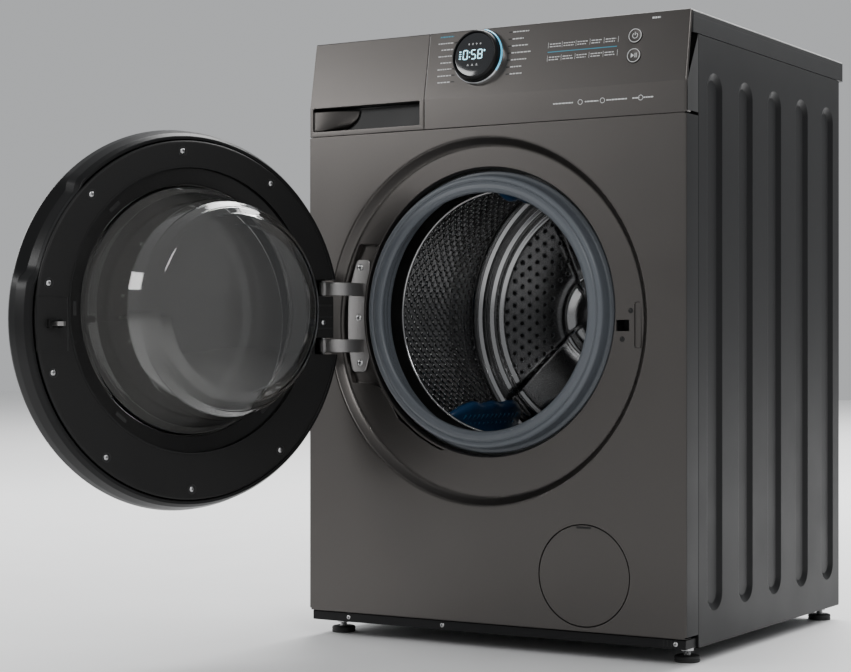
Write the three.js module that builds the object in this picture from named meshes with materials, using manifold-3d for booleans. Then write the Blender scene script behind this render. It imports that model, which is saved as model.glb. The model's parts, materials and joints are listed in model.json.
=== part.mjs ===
// Front-loading washing machine, built as an assembly of separate pieces.
// Millimetres, +Z up. The front panel's face is the plane y = 0 and faces -Y, x = 0 is the middle of
// the cabinet and z = 0 is the floor. The door is shown open on its hinge. At the end the whole machine
// is shifted so that the origin is the middle of its bounding box's bottom face.
import * as THREE from "three";
import { mergeVertices } from "three/addons/utils/BufferGeometryUtils.js";
import Module from "manifold-3d";

const wasm = await Module();
wasm.setup();

// ---------------------------------------------------------------- driving dimensions
const WIDTH = 595;
const HEIGHT = 850;
const DEPTH = 568; // front panel face to the back edge of the top cover
const HALF = WIDTH / 2;
const SHEET = 2.5; // wall of the sheet-metal panels
const GAP = 0.4; // clearance between neighbouring pieces

// cabinet heights and depths
const SIDE_BOTTOM = 21;
const PANEL_BOTTOM = 36;
const FASCIA_BOTTOM = 714.5;
const CREASE_Z = 756; // the fascia is upright below this line and leans back above it
const FASCIA_SETBACK = 16; // how far the fascia's top edge stands back
const LID_BOTTOM = 820;
const RETURN_DEPTH = 36; // depth of the front panel's and fascia's side returns
const SIDE_BACK = 549;
const LEAN = Math.atan2(FASCIA_SETBACK, HEIGHT - CREASE_Z);

// round features of the front
const DOOR_X = -10.5; // the door, recess and drum all sit slightly towards the hinge side
const RECESS_Z = 448;
const PORT_Z = 461; // porthole, gasket, drum and tub axis
const RECESS_R = 249;
const RECESS_DEPTH = 12.7;
const PORT_R = 196;
const HATCH_X = 148;
const HATCH_Z = 110;
const HATCH_R = 68;

// door and hinge
const HINGE_X = -249;
const HINGE_Y = -34;
const HINGE_Z = 455;
const DOOR_OPEN = 107; // degrees
const DOOR_R = 252.5;
const FRAME_R = 236;
const FRAME_OPENING_R = 189.5; // where the flat ring gives way to the dish round the glass
const GLASS_OPENING_R = 165.5;
const ARM_SPACING = 80;
const ARM_HEIGHT = 19;
const PIN_R = 2.9;
const LOCK_X = 199.5;
const LOCK_Z = 441;

// controls
const SPLIT_X = -102.3; // line between the drawer front and the fascia
const DIAL_X = -17;
const DIAL_Z = 809;
const DIAL_R = 36;
const DISPLAY_R = 31.4;
const BUTTON_X = 219;
const BUTTON_R = 10;
const POWER_Z = 820;
const START_Z = 793.5;

// drum, tub and drive
const TUB_R = 250;
const TUB_WALL = 3;
const TUB_FRONT_Y = 44;
const TUB_JOINT_Y = 240;
const TUB_BACK_Y = 432;
const DRUM_R = 233;
const DRUM_BACK_Y = 380;
const LIFTER_ANGLE = -132; // degrees from +X, the lifter at the lower left of the drum
const LIFTER_COUNT = 3;
const SHAFT_R = 12.5;
const PULLEY_R = 140;
const PULLEY_Y = 460;
const MOTOR_PULLEY_R = 10;
const MOTOR_X = 60;
const MOTOR_Z = 112;
const MOTOR_LUG_Z = 170; // underside of the tub's lugs that carry the motor

// feet
const FOOT_X = 274;
const FOOT_FRONT_Y = 52;
const FOOT_REAR_Y = 527;
const FOOT_R = 17;

// smoothness of round shapes
const FINE = 36;
const BROAD = 28;
const MEDIUM = 22;
const COARSE = 12;
const FRAME_SIDES = 37; // the inner frame is round about two axes, and each has its own number of sides
const OPENING_SIDES = 35;
const DISH_SIDES = 33;

// ribs, springs, fittings, drawer, pump, hubs and hinge details
const INSIDE = HALF - SHEET - GAP; // half width of what sits between the side panels
const RIB_COUNT = 5;
const RIB_FIRST_Y = 88;
const RIB_SPACING = 102.5;
const RIB_WIDTH = 50;
const RIB_LOW = 64;
const RIB_HIGH = 775;
const RIB_DEPTH = 3;
const SPRING_X = 238;
const SPRING_Y = 380;
const HANGER_Z = 802; // shelf on each side panel that a suspension spring hangs from
const ACCESS_HALF_WIDTH = 175;
const ACCESS_LOW = 90;
const ACCESS_HIGH = 640;
const VALVE_X = -215;
const VALVE_Z = 775;
const DRAIN_X = 235;
const DRAIN_Z = 770;
const CORD_X = 235;
const CORD_Z = 700;
const POCKET_Y = 20.7;
const HATCH_CLEARANCE = 0.6;
const FASCIA_WALL = 3;
const DRAWER_GAP = 0.4;
const BULKHEAD_Y = 24; // plate behind the drawer front that carries the detergent housing
const TRAY_LEFT = -283;
const TRAY_RIGHT = -113;
const TRAY_LOW = 731;
const TRAY_HIGH = 796;
const PULL_LEFT = -291;
const PULL_RIGHT = -110;
const PULL_LOW = 722;
const PULL_HIGH = 759;
const PULL_DEPTH = 18;
const TRAY_FRONT_Y = 20.4;
const TRAY_BACK_Y = 300;
const PUMP_Y = 92;
const SUMP_X = 0;
const SUMP_Y = 130;
const HEATER_X = DOOR_X;
const HEATER_Z = PORT_Z - 239.3;
const HUB_R = 40;
const SPRING_SEAT_Z = 600;
const FRONT_SEAT_Y = 394;
const DAMPER_LENGTH = 222;
const ARM_CENTRES = [HINGE_Z - ARM_SPACING / 2, HINGE_Z + ARM_SPACING / 2];
const NOTCH_X = -205; // the door is cut away to the left of this line where the hinge arms pass
const NOTCH_Y = -42;
const NOTCH_LOW = HINGE_Z - ARM_SPACING / 2 - 12;
const NOTCH_HIGH = HINGE_Z + ARM_SPACING / 2 + 12;

// ---------------------------------------------------------------- shape helpers
const rad = THREE.MathUtils.degToRad;

// A closed geometry as a solid that can be joined and cut.
function solidOf(geometry) {
  const bare = geometry.index ? geometry.toNonIndexed() : geometry.clone();
  for (const name of Object.keys(bare.attributes)) {
    if (name !== "position") bare.deleteAttribute(name);
  }
  const merged = mergeVertices(bare, 1e-4);
  const corners = merged.index.array;
  const kept = [];
  for (let i = 0; i < corners.length; i += 3) {
    const [a, b, c] = [corners[i], corners[i + 1], corners[i + 2]];
    if (a !== b && b !== c && c !== a) kept.push(a, b, c);
  }
  return new wasm.Manifold(
    new wasm.Mesh({
      numProp: 3,
      vertProperties: new Float32Array(merged.attributes.position.array),
      triVerts: new Uint32Array(kept),
    }),
  );
}

function geometryOf(solid) {
  const mesh = solid.getMesh();
  const geometry = new THREE.BufferGeometry();
  geometry.setAttribute("position", new THREE.BufferAttribute(mesh.vertProperties, mesh.numProp));
  geometry.setIndex(new THREE.BufferAttribute(mesh.triVerts, 1));
  return geometry;
}

function join(...geometries) {
  return geometryOf(geometries.map(solidOf).reduce((sum, next) => sum.add(next)));
}

function cut(body, ...tools) {
  return geometryOf(tools.map(solidOf).reduce((rest, tool) => rest.subtract(tool), solidOf(body)));
}

function overlap(first, second) {
  return geometryOf(solidOf(first).intersect(solidOf(second)));
}

// A box given by its limits along each axis.
function block(x0, x1, y0, y1, z0, z1) {
  const box = new THREE.BoxGeometry(x1 - x0, y1 - y0, z1 - z0);
  return box.translate((x0 + x1) / 2, (y0 + y1) / 2, (z0 + z1) / 2);
}

// A solid of revolution about an axis along Y through (x, z). The profile holds [radius, y] pairs; it
// starts and ends on the axis, or closes on itself.
function turned(profile, x, z, segments = FINE) {
  const points = profile.map(([r, y]) => new THREE.Vector2(r, y));
  const onAxis = profile[0][0] === 0 && profile[profile.length - 1][0] === 0;
  if (!onAxis) points.push(points[0].clone());
  let area = 0;
  for (let i = 0; i < points.length; i += 1) {
    const a = points[i];
    const b = points[(i + 1) % points.length];
    area += a.x * b.y - b.x * a.y;
  }
  if (area < 0) points.reverse();
  const lathe = new THREE.LatheGeometry(points, segments).translate(x, 0, z);
  return geometryOf(solidOf(lathe));
}

// A solid disc along Y.
function disc(radius, y0, y1, x, z, segments = FINE) {
  return turned([[0, y0], [radius, y0], [radius, y1], [0, y1]], x, z, segments);
}

// A cylinder along Z.
function post(radius, z0, z1, x, y, segments = COARSE) {
  const cylinder = new THREE.CylinderGeometry(radius, radius, z1 - z0, segments);
  return cylinder.rotateX(Math.PI / 2).translate(x, y, (z0 + z1) / 2);
}

// An outline in the XZ plane, thickened from y0 to y1.
function frontPlate(shape, y0, y1, curveSegments = 8) {
  const plate = new THREE.ExtrudeGeometry(shape, { depth: y1 - y0, bevelEnabled: false, curveSegments });
  return plate.rotateX(Math.PI / 2).translate(0, y1, 0);
}

// An outline in the YZ plane, thickened from x0 to x1.
function sidePlate(shape, x0, x1, curveSegments = 8) {
  const plate = new THREE.ExtrudeGeometry(shape, { depth: x1 - x0, bevelEnabled: false, curveSegments });
  const turn = new THREE.Matrix4().makeBasis(
    new THREE.Vector3(0, 1, 0),
    new THREE.Vector3(0, 0, 1),
    new THREE.Vector3(1, 0, 0),
  );
  return plate.applyMatrix4(turn).translate(x0, 0, 0);
}

// An outline in the XY plane, thickened from z0 to z1.
function levelPlate(shape, z0, z1, curveSegments = 8) {
  const plate = new THREE.ExtrudeGeometry(shape, { depth: z1 - z0, bevelEnabled: false, curveSegments });
  return plate.translate(0, 0, z0);
}

function outline(points) {
  return new THREE.Shape(points.map(([x, y]) => new THREE.Vector2(x, y)));
}

// A rectangle with rounded corners, given by its limits.
function roundedOutline(x0, x1, y0, y1, radius) {
  const shape = new THREE.Shape();
  shape.moveTo(x0 + radius, y0);
  shape.lineTo(x1 - radius, y0);
  shape.absarc(x1 - radius, y0 + radius, radius, -Math.PI / 2, 0);
  shape.absarc(x1 - radius, y1 - radius, radius, 0, Math.PI / 2);
  shape.absarc(x0 + radius, y1 - radius, radius, Math.PI / 2, Math.PI);
  shape.absarc(x0 + radius, y0 + radius, radius, Math.PI, 1.5 * Math.PI);
  return shape;
}

// The closed outline of a strip of even thickness along a line of points.
function ribbon(points, thickness) {
  const left = [];
  const right = [];
  points.forEach((point, i) => {
    const before = points[Math.max(i - 1, 0)];
    const after = points[Math.min(i + 1, points.length - 1)];
    const along = new THREE.Vector2(after[0] - before[0], after[1] - before[1]).normalize();
    const across = [-along.y * (thickness / 2), along.x * (thickness / 2)];
    left.push([point[0] + across[0], point[1] + across[1]]);
    right.push([point[0] - across[0], point[1] - across[1]]);
  });
  return [...left, ...right.reverse()];
}

// A round bar or tube along a smooth path.
function bar(points, radius, steps, sides) {
  const path = new THREE.CatmullRomCurve3(points.map(([x, y, z]) => new THREE.Vector3(x, y, z)));
  const section = new THREE.Shape();
  section.absarc(0, 0, radius, 0, 2 * Math.PI);
  return new THREE.ExtrudeGeometry(section, {
    extrudePath: path,
    steps,
    curveSegments: sides,
    bevelEnabled: false,
  });
}

// The fascia's face: how far back it lies at a height.
function faceY(z) {
  return z > CREASE_Z ? (z - CREASE_Z) * Math.tan(LEAN) : 0;
}

// The outline, in the YZ plane, of a plate that follows the fascia's face.
function faceOutline(z0, z1, front, back) {
  return outline([
    [front, z0],
    [front, CREASE_Z],
    [faceY(z1) + front, z1],
    [faceY(z1) + back, z1],
    [back, CREASE_Z],
    [back, z0],
  ]);
}

// ---------------------------------------------------------------- scene graph helpers
const machine = new THREE.Group();

function finish(color, roughness, metalness) {
  return () => new THREE.MeshStandardMaterial({ color, roughness, metalness });
}

const titanium = finish(0x4a4745, 0.35, 0.7);
const blackPaint = finish(0x1c1c1c, 0.5, 0.1);
const blackPlastic = finish(0x222222, 0.55, 0);
const glossBlack = finish(0x0b0b0c, 0.12, 0);
const greyPlastic = finish(0x9a9a98, 0.6, 0);
const whitePlastic = finish(0xdedede, 0.5, 0);
const zinc = finish(0x8d8885, 0.35, 0.8);
const chrome = finish(0xd8dadc, 0.12, 1);
const steel = finish(0xb4b6b8, 0.28, 0.9);
const castIron = finish(0x5b5f63, 0.6, 0.6);
const concrete = finish(0x8f8c86, 0.95, 0);
const rubber = finish(0x6b737c, 0.75, 0);
const blackRubber = finish(0x151515, 0.85, 0);
const smokedGlass = finish(0x30302f, 0.08, 0);
const navyPlastic = finish(0x16294d, 0.4, 0);
const green = finish(0x1f5a3a, 0.6, 0);

function add(name, geometry, look, parent = machine) {
  const mesh = new THREE.Mesh(geometry, look());
  mesh.name = name;
  parent.add(mesh);
  return mesh;
}

// ---------------------------------------------------------------- cabinet

function baseTray() {
  const low = SIDE_BOTTOM + 1;
  const rim = 60;
  const front = 4;
  const back = SIDE_BACK - SHEET - 1;
  const kerb = PANEL_BOTTOM - GAP;
  const inner = block(-INSIDE + SHEET, INSIDE - SHEET, RETURN_DEPTH + 8, back - SHEET, low + SHEET, rim + 1);
  const toe = block(-INSIDE + SHEET, INSIDE - SHEET, front + SHEET, RETURN_DEPTH + 4, low + SHEET, kerb + 1);
  const tray = join(
    block(-INSIDE, INSIDE, RETURN_DEPTH + 4, back, low, rim),
    block(-INSIDE, INSIDE, front, RETURN_DEPTH + 5, low, kerb),
  );
  const holes = footPlaces().map(([x, y]) => post(5.6, low - 1, low + SHEET + 1, x, y, 16));
  return cut(tray, inner, toe, ...holes);
}

function footPlaces() {
  return [
    [-FOOT_X, FOOT_FRONT_Y],
    [FOOT_X, FOOT_FRONT_Y],
    [-FOOT_X, FOOT_REAR_Y],
    [FOOT_X, FOOT_REAR_Y],
  ];
}

// One side panel; side is -1 for the left and +1 for the right.
function sidePanel(side) {
  const top = LID_BOTTOM - GAP;
  const front = RETURN_DEPTH + GAP;
  const slab = (x0, x1, y0, y1, z0, z1) =>
    side > 0 ? block(x0, x1, y0, y1, z0, z1) : block(-x1, -x0, y0, y1, z0, z1);
  const rib = (grow, x0, x1) => (_, i) => {
    const y = RIB_FIRST_Y + i * RIB_SPACING;
    const half = RIB_WIDTH / 2 + grow;
    const shape = roundedOutline(y - half, y + half, RIB_LOW - grow, RIB_HIGH + grow, half - 0.01);
    return side > 0 ? sidePlate(shape, x0, x1, 3) : sidePlate(shape, -x1, -x0, 3);
  };
  const ribs = (grow, x0, x1) => Array.from({ length: RIB_COUNT }, rib(grow, x0, x1));
  const panel = join(
    slab(HALF - SHEET, HALF, front, SIDE_BACK, SIDE_BOTTOM, top),
    slab(HALF - 25, HALF, front + 1, SIDE_BACK - 6, top - SHEET, top),
    slab(SPRING_X - 14, HALF, SPRING_Y - 10, SPRING_Y + 10, HANGER_Z, HANGER_Z + 4),
    ...ribs(SHEET, HALF - RIB_DEPTH - SHEET, HALF - SHEET + 0.1),
  );
  return cut(panel, ...ribs(0, HALF - RIB_DEPTH, HALF + 1));
}

function rearPanel() {
  const front = SIDE_BACK - SHEET - GAP;
  const plate = block(-INSIDE, INSIDE, front, front + SHEET, 66, LID_BOTTOM - GAP);
  const opening = frontPlate(
    roundedOutline(-ACCESS_HALF_WIDTH, ACCESS_HALF_WIDTH, ACCESS_LOW, ACCESS_HIGH, 40),
    front - 1,
    front + SHEET + 1,
    4,
  );
  const valveHole = disc(14, front - 1, front + SHEET + 1, VALVE_X, VALVE_Z, COARSE);
  const drainHole = disc(12, front - 1, front + SHEET + 1, DRAIN_X, DRAIN_Z, COARSE);
  const cordHole = disc(8, front - 1, front + SHEET + 1, CORD_X, CORD_Z, COARSE);
  return cut(plate, opening, valveHole, drainHole, cordHole);
}

function accessCover() {
  const y = SIDE_BACK - GAP + 0.5;
  const lap = 14;
  const flat = frontPlate(
    roundedOutline(-ACCESS_HALF_WIDTH - lap, ACCESS_HALF_WIDTH + lap, ACCESS_LOW - lap, ACCESS_HIGH + lap, 50),
    y,
    y + SHEET,
    4,
  );
  const raised = frontPlate(
    roundedOutline(-ACCESS_HALF_WIDTH + 20, ACCESS_HALF_WIDTH - 20, ACCESS_LOW + 20, ACCESS_HIGH - 20, 30),
    y,
    y + 2 * SHEET,
    4,
  );
  const hollow = frontPlate(
    roundedOutline(-ACCESS_HALF_WIDTH + 23, ACCESS_HALF_WIDTH - 23, ACCESS_LOW + 23, ACCESS_HIGH - 23, 28),
    y - 1,
    y + SHEET,
    4,
  );
  return cut(join(flat, raised), hollow);
}

// The pocket in the recess floor that holds the hinge bracket, grown outwards by grow.
function hingePocket(y0, y1, grow) {
  const strip = block(-280, -150, y0, y1, 363 - grow, 560 + grow);
  const outer = disc(RECESS_R - 11 + grow, y0, y1, DOOR_X, RECESS_Z);
  const inner = disc(PORT_R + 3 - grow, y0 - 1, y1 + 1, DOOR_X, PORT_Z);
  return cut(overlap(strip, outer), inner);
}

function frontPanel() {
  const top = FASCIA_BOTTOM - GAP;
  const wall = SHEET;
  const face = new THREE.Shape();
  face.moveTo(-HALF, PANEL_BOTTOM);
  face.lineTo(HALF, PANEL_BOTTOM);
  face.lineTo(HALF, top);
  face.lineTo(-HALF, top);
  const shell = join(
    frontPlate(face, 0, wall),
    block(-HALF, -HALF + wall, 0, RETURN_DEPTH, PANEL_BOTTOM, top),
    block(HALF - wall, HALF, 0, RETURN_DEPTH, PANEL_BOTTOM, top),
    block(-HALF, HALF, 0, 20, PANEL_BOTTOM, PANEL_BOTTOM + wall),
    block(-HALF, HALF, 0, 20, top - wall, top),
  );
  const opened = cut(
    shell,
    disc(RECESS_R, -1, wall + 0.5, DOOR_X, RECESS_Z),
    disc(HATCH_R, -1, wall + 0.5, HATCH_X, HATCH_Z, MEDIUM),
  );
  const depth = RECESS_DEPTH;
  const slope = turned(
    [
      [RECESS_R - 1, 0.8],
      [RECESS_R - 5.5, 8],
      [RECESS_R - 10, depth],
      [RECESS_R - 10, depth + wall],
      [RECESS_R - 3.5, depth - 2],
      [RECESS_R + 3, wall],
      [RECESS_R + 3, 0.8],
    ],
    DOOR_X,
    RECESS_Z,
  );
  const floor = disc(RECESS_R - 8, depth, depth + wall, DOOR_X, RECESS_Z);
  const collar = disc(PORT_R + wall, depth, depth + 11, DOOR_X, PORT_Z);
  const pocketShell = hingePocket(depth + 0.1, POCKET_Y + wall, wall);
  return cut(
    join(opened, slope, floor, collar, pocketShell),
    disc(PORT_R, depth - 1, depth + 12, DOOR_X, PORT_Z),
    hingePocket(depth - 1, POCKET_Y, 0),
    block(LOCK_X - 9.5, LOCK_X + 9.5, depth - 1, depth + wall + 1, LOCK_Z - 7.5, LOCK_Z + 7.5),
  );
}

function topCover() {
  const front = FASCIA_SETBACK + 3 + GAP;
  const skirt = 3;
  const plate = 3.5;
  const outside = levelPlate(roundedOutline(-HALF, HALF, front, DEPTH, 4), LID_BOTTOM, HEIGHT, 3);
  const inside = block(-HALF + skirt, HALF - skirt, front + skirt, DEPTH - skirt, LID_BOTTOM - 1, HEIGHT - plate);
  return cut(outside, inside);
}

// The lower front opening's round door, hinged at its left edge.

function serviceHatch() {
  const radius = HATCH_R - HATCH_CLEARANCE;
  const plate = disc(radius, 0, SHEET, HATCH_X, HATCH_Z, MEDIUM);
  const catchTab = block(HATCH_X + radius - 16, HATCH_X + radius - 12, SHEET - 0.5, 8, HATCH_Z - 8, HATCH_Z + 8);
  return join(plate, catchTab);
}

// ---------------------------------------------------------------- fascia and controls

// Where something leans with the fascia's face: a group whose origin lies on the face.
function faceGroup(x, z) {
  const group = new THREE.Group();
  group.position.set(x, faceY(z), z);
  group.rotation.x = -LEAN;
  return group;
}

// A hole through the fascia, square to its face.
function faceHole(radius, x, z, segments) {
  const drill = disc(radius, -12, 9, 0, 0, segments).rotateX(-LEAN);
  return drill.translate(x, faceY(z), z);
}

function fascia() {
  const left = SPLIT_X + DRAWER_GAP / 2;
  const low = FASCIA_BOTTOM;
  const wall = FASCIA_WALL;
  const cheekTop = LID_BOTTOM - GAP;
  const cheek = outline([
    [0.5, low],
    [0.5, CREASE_Z],
    [faceY(cheekTop) + 0.5, cheekTop],
    [RETURN_DEPTH, cheekTop],
    [RETURN_DEPTH, low],
  ]);
  const leftCheek = outline([
    [FASCIA_WALL + 1 + faceY(cheekTop), low],
    [FASCIA_WALL + 1 + faceY(cheekTop), cheekTop],
    [RETURN_DEPTH, cheekTop],
    [RETURN_DEPTH, low],
  ]);
  const tray = block(
    TRAY_LEFT - 4,
    TRAY_RIGHT + 4,
    BULKHEAD_Y - 1,
    BULKHEAD_Y + SHEET + 1,
    TRAY_LOW - 6,
    TRAY_HIGH + 6,
  );
  const body = join(
    sidePlate(faceOutline(low, HEIGHT, 0, wall), left, HALF),
    sidePlate(cheek, HALF - wall, HALF),
    sidePlate(cheek, left, left + wall),
    sidePlate(leftCheek, -HALF, -HALF + wall),
    block(-HALF, HALF, RETURN_DEPTH - 12, RETURN_DEPTH, low, low + wall),
    block(left, HALF, 0.5, RETURN_DEPTH, low, low + wall),
    block(-HALF + 1, left + 1, BULKHEAD_Y, BULKHEAD_Y + SHEET, low, cheekTop),
  );
  return cut(
    body,
    tray,
    faceHole(DIAL_R + 1, DIAL_X, DIAL_Z, MEDIUM),
    faceHole(BUTTON_R + GAP, BUTTON_X, POWER_Z, COARSE),
    faceHole(BUTTON_R + GAP, BUTTON_X, START_Z, COARSE),
  );
}

// The chrome ring that the dial turns in, lying on the fascia's face.
function dialRing() {
  const outer = DIAL_R + 3.5;
  const inner = DIAL_R + 0.6;
  return turned([[outer, -0.3], [outer, -5], [outer - 1.5, -8], [inner, -8], [inner, -0.3]], 0, 0, FINE);
}

function dialKnob() {
  const bore = DISPLAY_R + GAP;
  return turned(
    [
      [DIAL_R, 3],
      [DIAL_R, -12],
      [DIAL_R - 3, -17.5],
      [bore, -17.5],
      [bore, 3],
    ],
    0,
    0,
    FINE,
  );
}

function dialDisplay() {
  return join(disc(DISPLAY_R, -16.8, 4, 0, 0, MEDIUM), disc(10, 3, 22, 0, 0, COARSE));
}

function pushButton() {
  return turned(
    [
      [0, -1.2],
      [BUTTON_R - 0.8, -1.2],
      [BUTTON_R, -0.4],
      [BUTTON_R, 5],
      [0, 5],
    ],
    0,
    0,
    COARSE,
  );
}

// The circuit board and its carrier, behind the fascia between the dial and the buttons.
function controlBoard() {
  const carrier = block(-92, 280, 34, 40, 728, 812);
  const hollow = block(-89, 277, 36, 41, 731, 809);
  return cut(carrier, hollow);
}

// The front of the detergent drawer, with the hand pocket along its lower edge.
function drawerFront() {
  const left = -HALF;
  const right = SPLIT_X - DRAWER_GAP / 2;
  const low = FASCIA_BOTTOM;
  const wall = FASCIA_WALL;
  const skin = sidePlate(faceOutline(low, HEIGHT, 0, wall), left, right);
  const cup = block(PULL_LEFT - 2, PULL_RIGHT + 2, 1, PULL_DEPTH + 2, PULL_LOW - 2, PULL_HIGH + 2);
  const pocket = block(PULL_LEFT, PULL_RIGHT, -1, PULL_DEPTH, PULL_LOW, PULL_HIGH);
  // the scoop at the pocket's left end slopes from the face down into the pocket
  const scoop = levelPlate(
    outline([[PULL_LEFT - 1, 1], [PULL_LEFT + 67, PULL_DEPTH + 1], [PULL_LEFT - 1, PULL_DEPTH + 1]]),
    PULL_LOW - 1,
    PULL_LOW + 28,
  );
  return join(cut(join(skin, cup), pocket), scoop);
}

// The tray behind the drawer front: two long compartments and a short one across the back.
function drawerTray() {
  const wall = 2.5;
  const body = block(TRAY_LEFT, TRAY_RIGHT, TRAY_FRONT_Y, TRAY_BACK_Y, TRAY_LOW, TRAY_HIGH);
  const middle = -205;
  const cross = 215;
  const rooms = [
    [TRAY_LEFT + wall, middle - wall / 2, TRAY_FRONT_Y + wall, cross - wall / 2],
    [middle + wall / 2, TRAY_RIGHT - wall, TRAY_FRONT_Y + wall, cross - wall / 2],
    [TRAY_LEFT + wall, TRAY_RIGHT - wall, cross + wall / 2, TRAY_BACK_Y - wall],
  ];
  return cut(body, ...rooms.map(([x0, x1, y0, y1]) => block(x0, x1, y0, y1, TRAY_LOW + wall, TRAY_HIGH + 1)));
}

// The siphon insert of the softener compartment.
function siphonCap() {
  const lid = block(-201, -119, 150, 210, 786, 789);
  const tube = post(9, 736, 786.5, -160, 180, COARSE);
  const bore = post(5, 735, 780, -160, 180, 12);
  return cut(join(lid, tube), bore);
}

// The box that the tray slides into, closed at the back and fed with water from above.
function detergentHousing() {
  const wall = 2.5;
  const clear = 3;
  const x0 = TRAY_LEFT - clear;
  const x1 = TRAY_RIGHT + clear;
  const y0 = BULKHEAD_Y + SHEET + GAP;
  const y1 = 316;
  const z0 = TRAY_LOW - clear;
  const z1 = TRAY_HIGH + clear + 1;
  const shell = block(x0 - wall, x1 + wall, y0, y1, z0 - wall, z1 + wall);
  return cut(shell, block(x0, x1, y0 - 1, y1 - wall, z0, z1));
}

// ---------------------------------------------------------------- water and electrics
function inletValve() {
  const body = block(VALVE_X - 22, VALVE_X + 22, 470, 530, VALVE_Z - 24, VALVE_Z + 24);
  const thread = disc(12.5, 529, DEPTH - 1, VALVE_X, VALVE_Z, COARSE);
  const solenoid = post(14, VALVE_Z + 23, LID_BOTTOM + 6, VALVE_X, 500, COARSE);
  const bore = disc(8.5, 540, DEPTH, VALVE_X, VALVE_Z, COARSE);
  return cut(join(body, thread, solenoid), bore);
}

function drainOutlet() {
  const stub = disc(11, 520, 564, DRAIN_X, DRAIN_Z, COARSE);
  const collar = disc(17, 540, 546, DRAIN_X, DRAIN_Z, COARSE);
  const bore = disc(8, 519, 565, DRAIN_X, DRAIN_Z, COARSE);
  return cut(join(stub, collar), bore);
}

function cordGland() {
  return cut(
    turned(
      [
        [0, 540],
        [12, 540],
        [12, 545.4],
        [7.5, 545.4],
        [7.5, 550],
        [13, 550],
        [13, 554],
        [8, 560],
        [0, 560],
      ],
      CORD_X,
      CORD_Z,
      COARSE,
    ),
    disc(4, 539, 561, CORD_X, CORD_Z, 12),
  );
}

function doorLock() {
  const y0 = RECESS_DEPTH + SHEET + GAP;
  const body = block(LOCK_X - 11, LOCK_X + 18, y0, 38, LOCK_Z - 24, LOCK_Z + 24);
  return cut(body, block(LOCK_X - 9, LOCK_X + 12, y0 - 1, 34, LOCK_Z - 8, LOCK_Z + 8));
}

// The drain pump with the tube that the lint filter slides into.
function drainPump() {
  const tube = disc(33, 14, PUMP_Y + 1, HATCH_X, HATCH_Z, MEDIUM);
  const volute = disc(44, PUMP_Y, PUMP_Y + 34, HATCH_X, HATCH_Z, MEDIUM);
  const motor = disc(26, PUMP_Y + 33, PUMP_Y + 92, HATCH_X, HATCH_Z, COARSE);
  const inlet = block(HATCH_X - 75, HATCH_X - 20, 58, 88, HATCH_Z - 15, HATCH_Z + 15);
  const bore = disc(29, 13, PUMP_Y + 20, HATCH_X, HATCH_Z, MEDIUM);
  const inletBore = block(HATCH_X - 76, HATCH_X - 10, 61, 85, HATCH_Z - 12, HATCH_Z + 12);
  return cut(join(tube, volute, motor, inlet), bore, inletBore);
}

// The lint filter's screw cap with its grip bar and sieve.
function filterCap() {
  const cap = disc(32, 10.5, 13.6, HATCH_X, HATCH_Z, MEDIUM);
  const grip = block(HATCH_X - 24, HATCH_X + 24, 5, 11, HATCH_Z - 4, HATCH_Z + 4);
  const plug = disc(28.6, 13, 50, HATCH_X, HATCH_Z, MEDIUM);
  return join(cap, grip, plug);
}

// The wide rubber hose from the tub's sump to the pump, open right through.
function sumpHose() {
  const route = [
    [SUMP_X, SUMP_Y, 198],
    [SUMP_X, SUMP_Y, 175],
    [SUMP_X + 10, 105, 145],
    [HATCH_X - 92, 74, 112],
    [HATCH_X - 78, 73, HATCH_Z],
  ];
  const last = route[route.length - 1];
  const beyond = [last[0] + 2, last[1], last[2]];
  const above = [SUMP_X, SUMP_Y, 200];
  return cut(bar(route, 17, 10, 5), bar([above, ...route, beyond], 13, 12, 5));
}

// ---------------------------------------------------------------- tub and drum
function tubFront() {
  const r = TUB_R;
  const wall = TUB_WALL;
  const y0 = TUB_FRONT_Y;
  const shell = turned(
    [
      [r, TUB_JOINT_Y - GAP],
      [r - wall, TUB_JOINT_Y - GAP],
      [r - wall, y0 + wall],
      [180, y0 + wall],
      [180, y0 - 8],
      [183, y0 - 8],
      [183, y0],
      [r, y0],
    ],
    DOOR_X,
    PORT_Z,
    BROAD,
  );
  const neck = post(21, 199, 222, SUMP_X, SUMP_Y, COARSE);
  const neckBore = post(18, 190, 240, SUMP_X, SUMP_Y, COARSE);
  const heaterHole = block(HEATER_X - 36, HEATER_X + 36, y0 - 1, y0 + wall + 1, HEATER_Z - 5, HEATER_Z + 5);
  const inside = disc(r - wall, y0 + wall, TUB_JOINT_Y, DOOR_X, PORT_Z);
  return cut(join(shell, cut(neck, inside)), neckBore, heaterHole);
}

// A U-shaped heating rod lying in the bottom of the tub, with its sealing flange.
function tubHeater() {
  const y0 = TUB_FRONT_Y;
  const leg = 26;
  const rod = bar(
    [
      [HEATER_X - leg, y0 - 6, HEATER_Z],
      [HEATER_X - leg, y0 + 60, HEATER_Z],
      [HEATER_X - leg, y0 + 140, HEATER_Z],
      [HEATER_X - leg * 0.7, y0 + 160, HEATER_Z],
      [HEATER_X, y0 + 168, HEATER_Z],
      [HEATER_X + leg * 0.7, y0 + 160, HEATER_Z],
      [HEATER_X + leg, y0 + 140, HEATER_Z],
      [HEATER_X + leg, y0 + 60, HEATER_Z],
      [HEATER_X + leg, y0 - 6, HEATER_Z],
    ],
    3,
    24,
    4,
  );
  const flange = block(HEATER_X - 35, HEATER_X + 35, y0 - 1, y0 + TUB_WALL + 1, HEATER_Z - 4.4, HEATER_Z + 4.4);
  return join(rod, flange);
}

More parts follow.
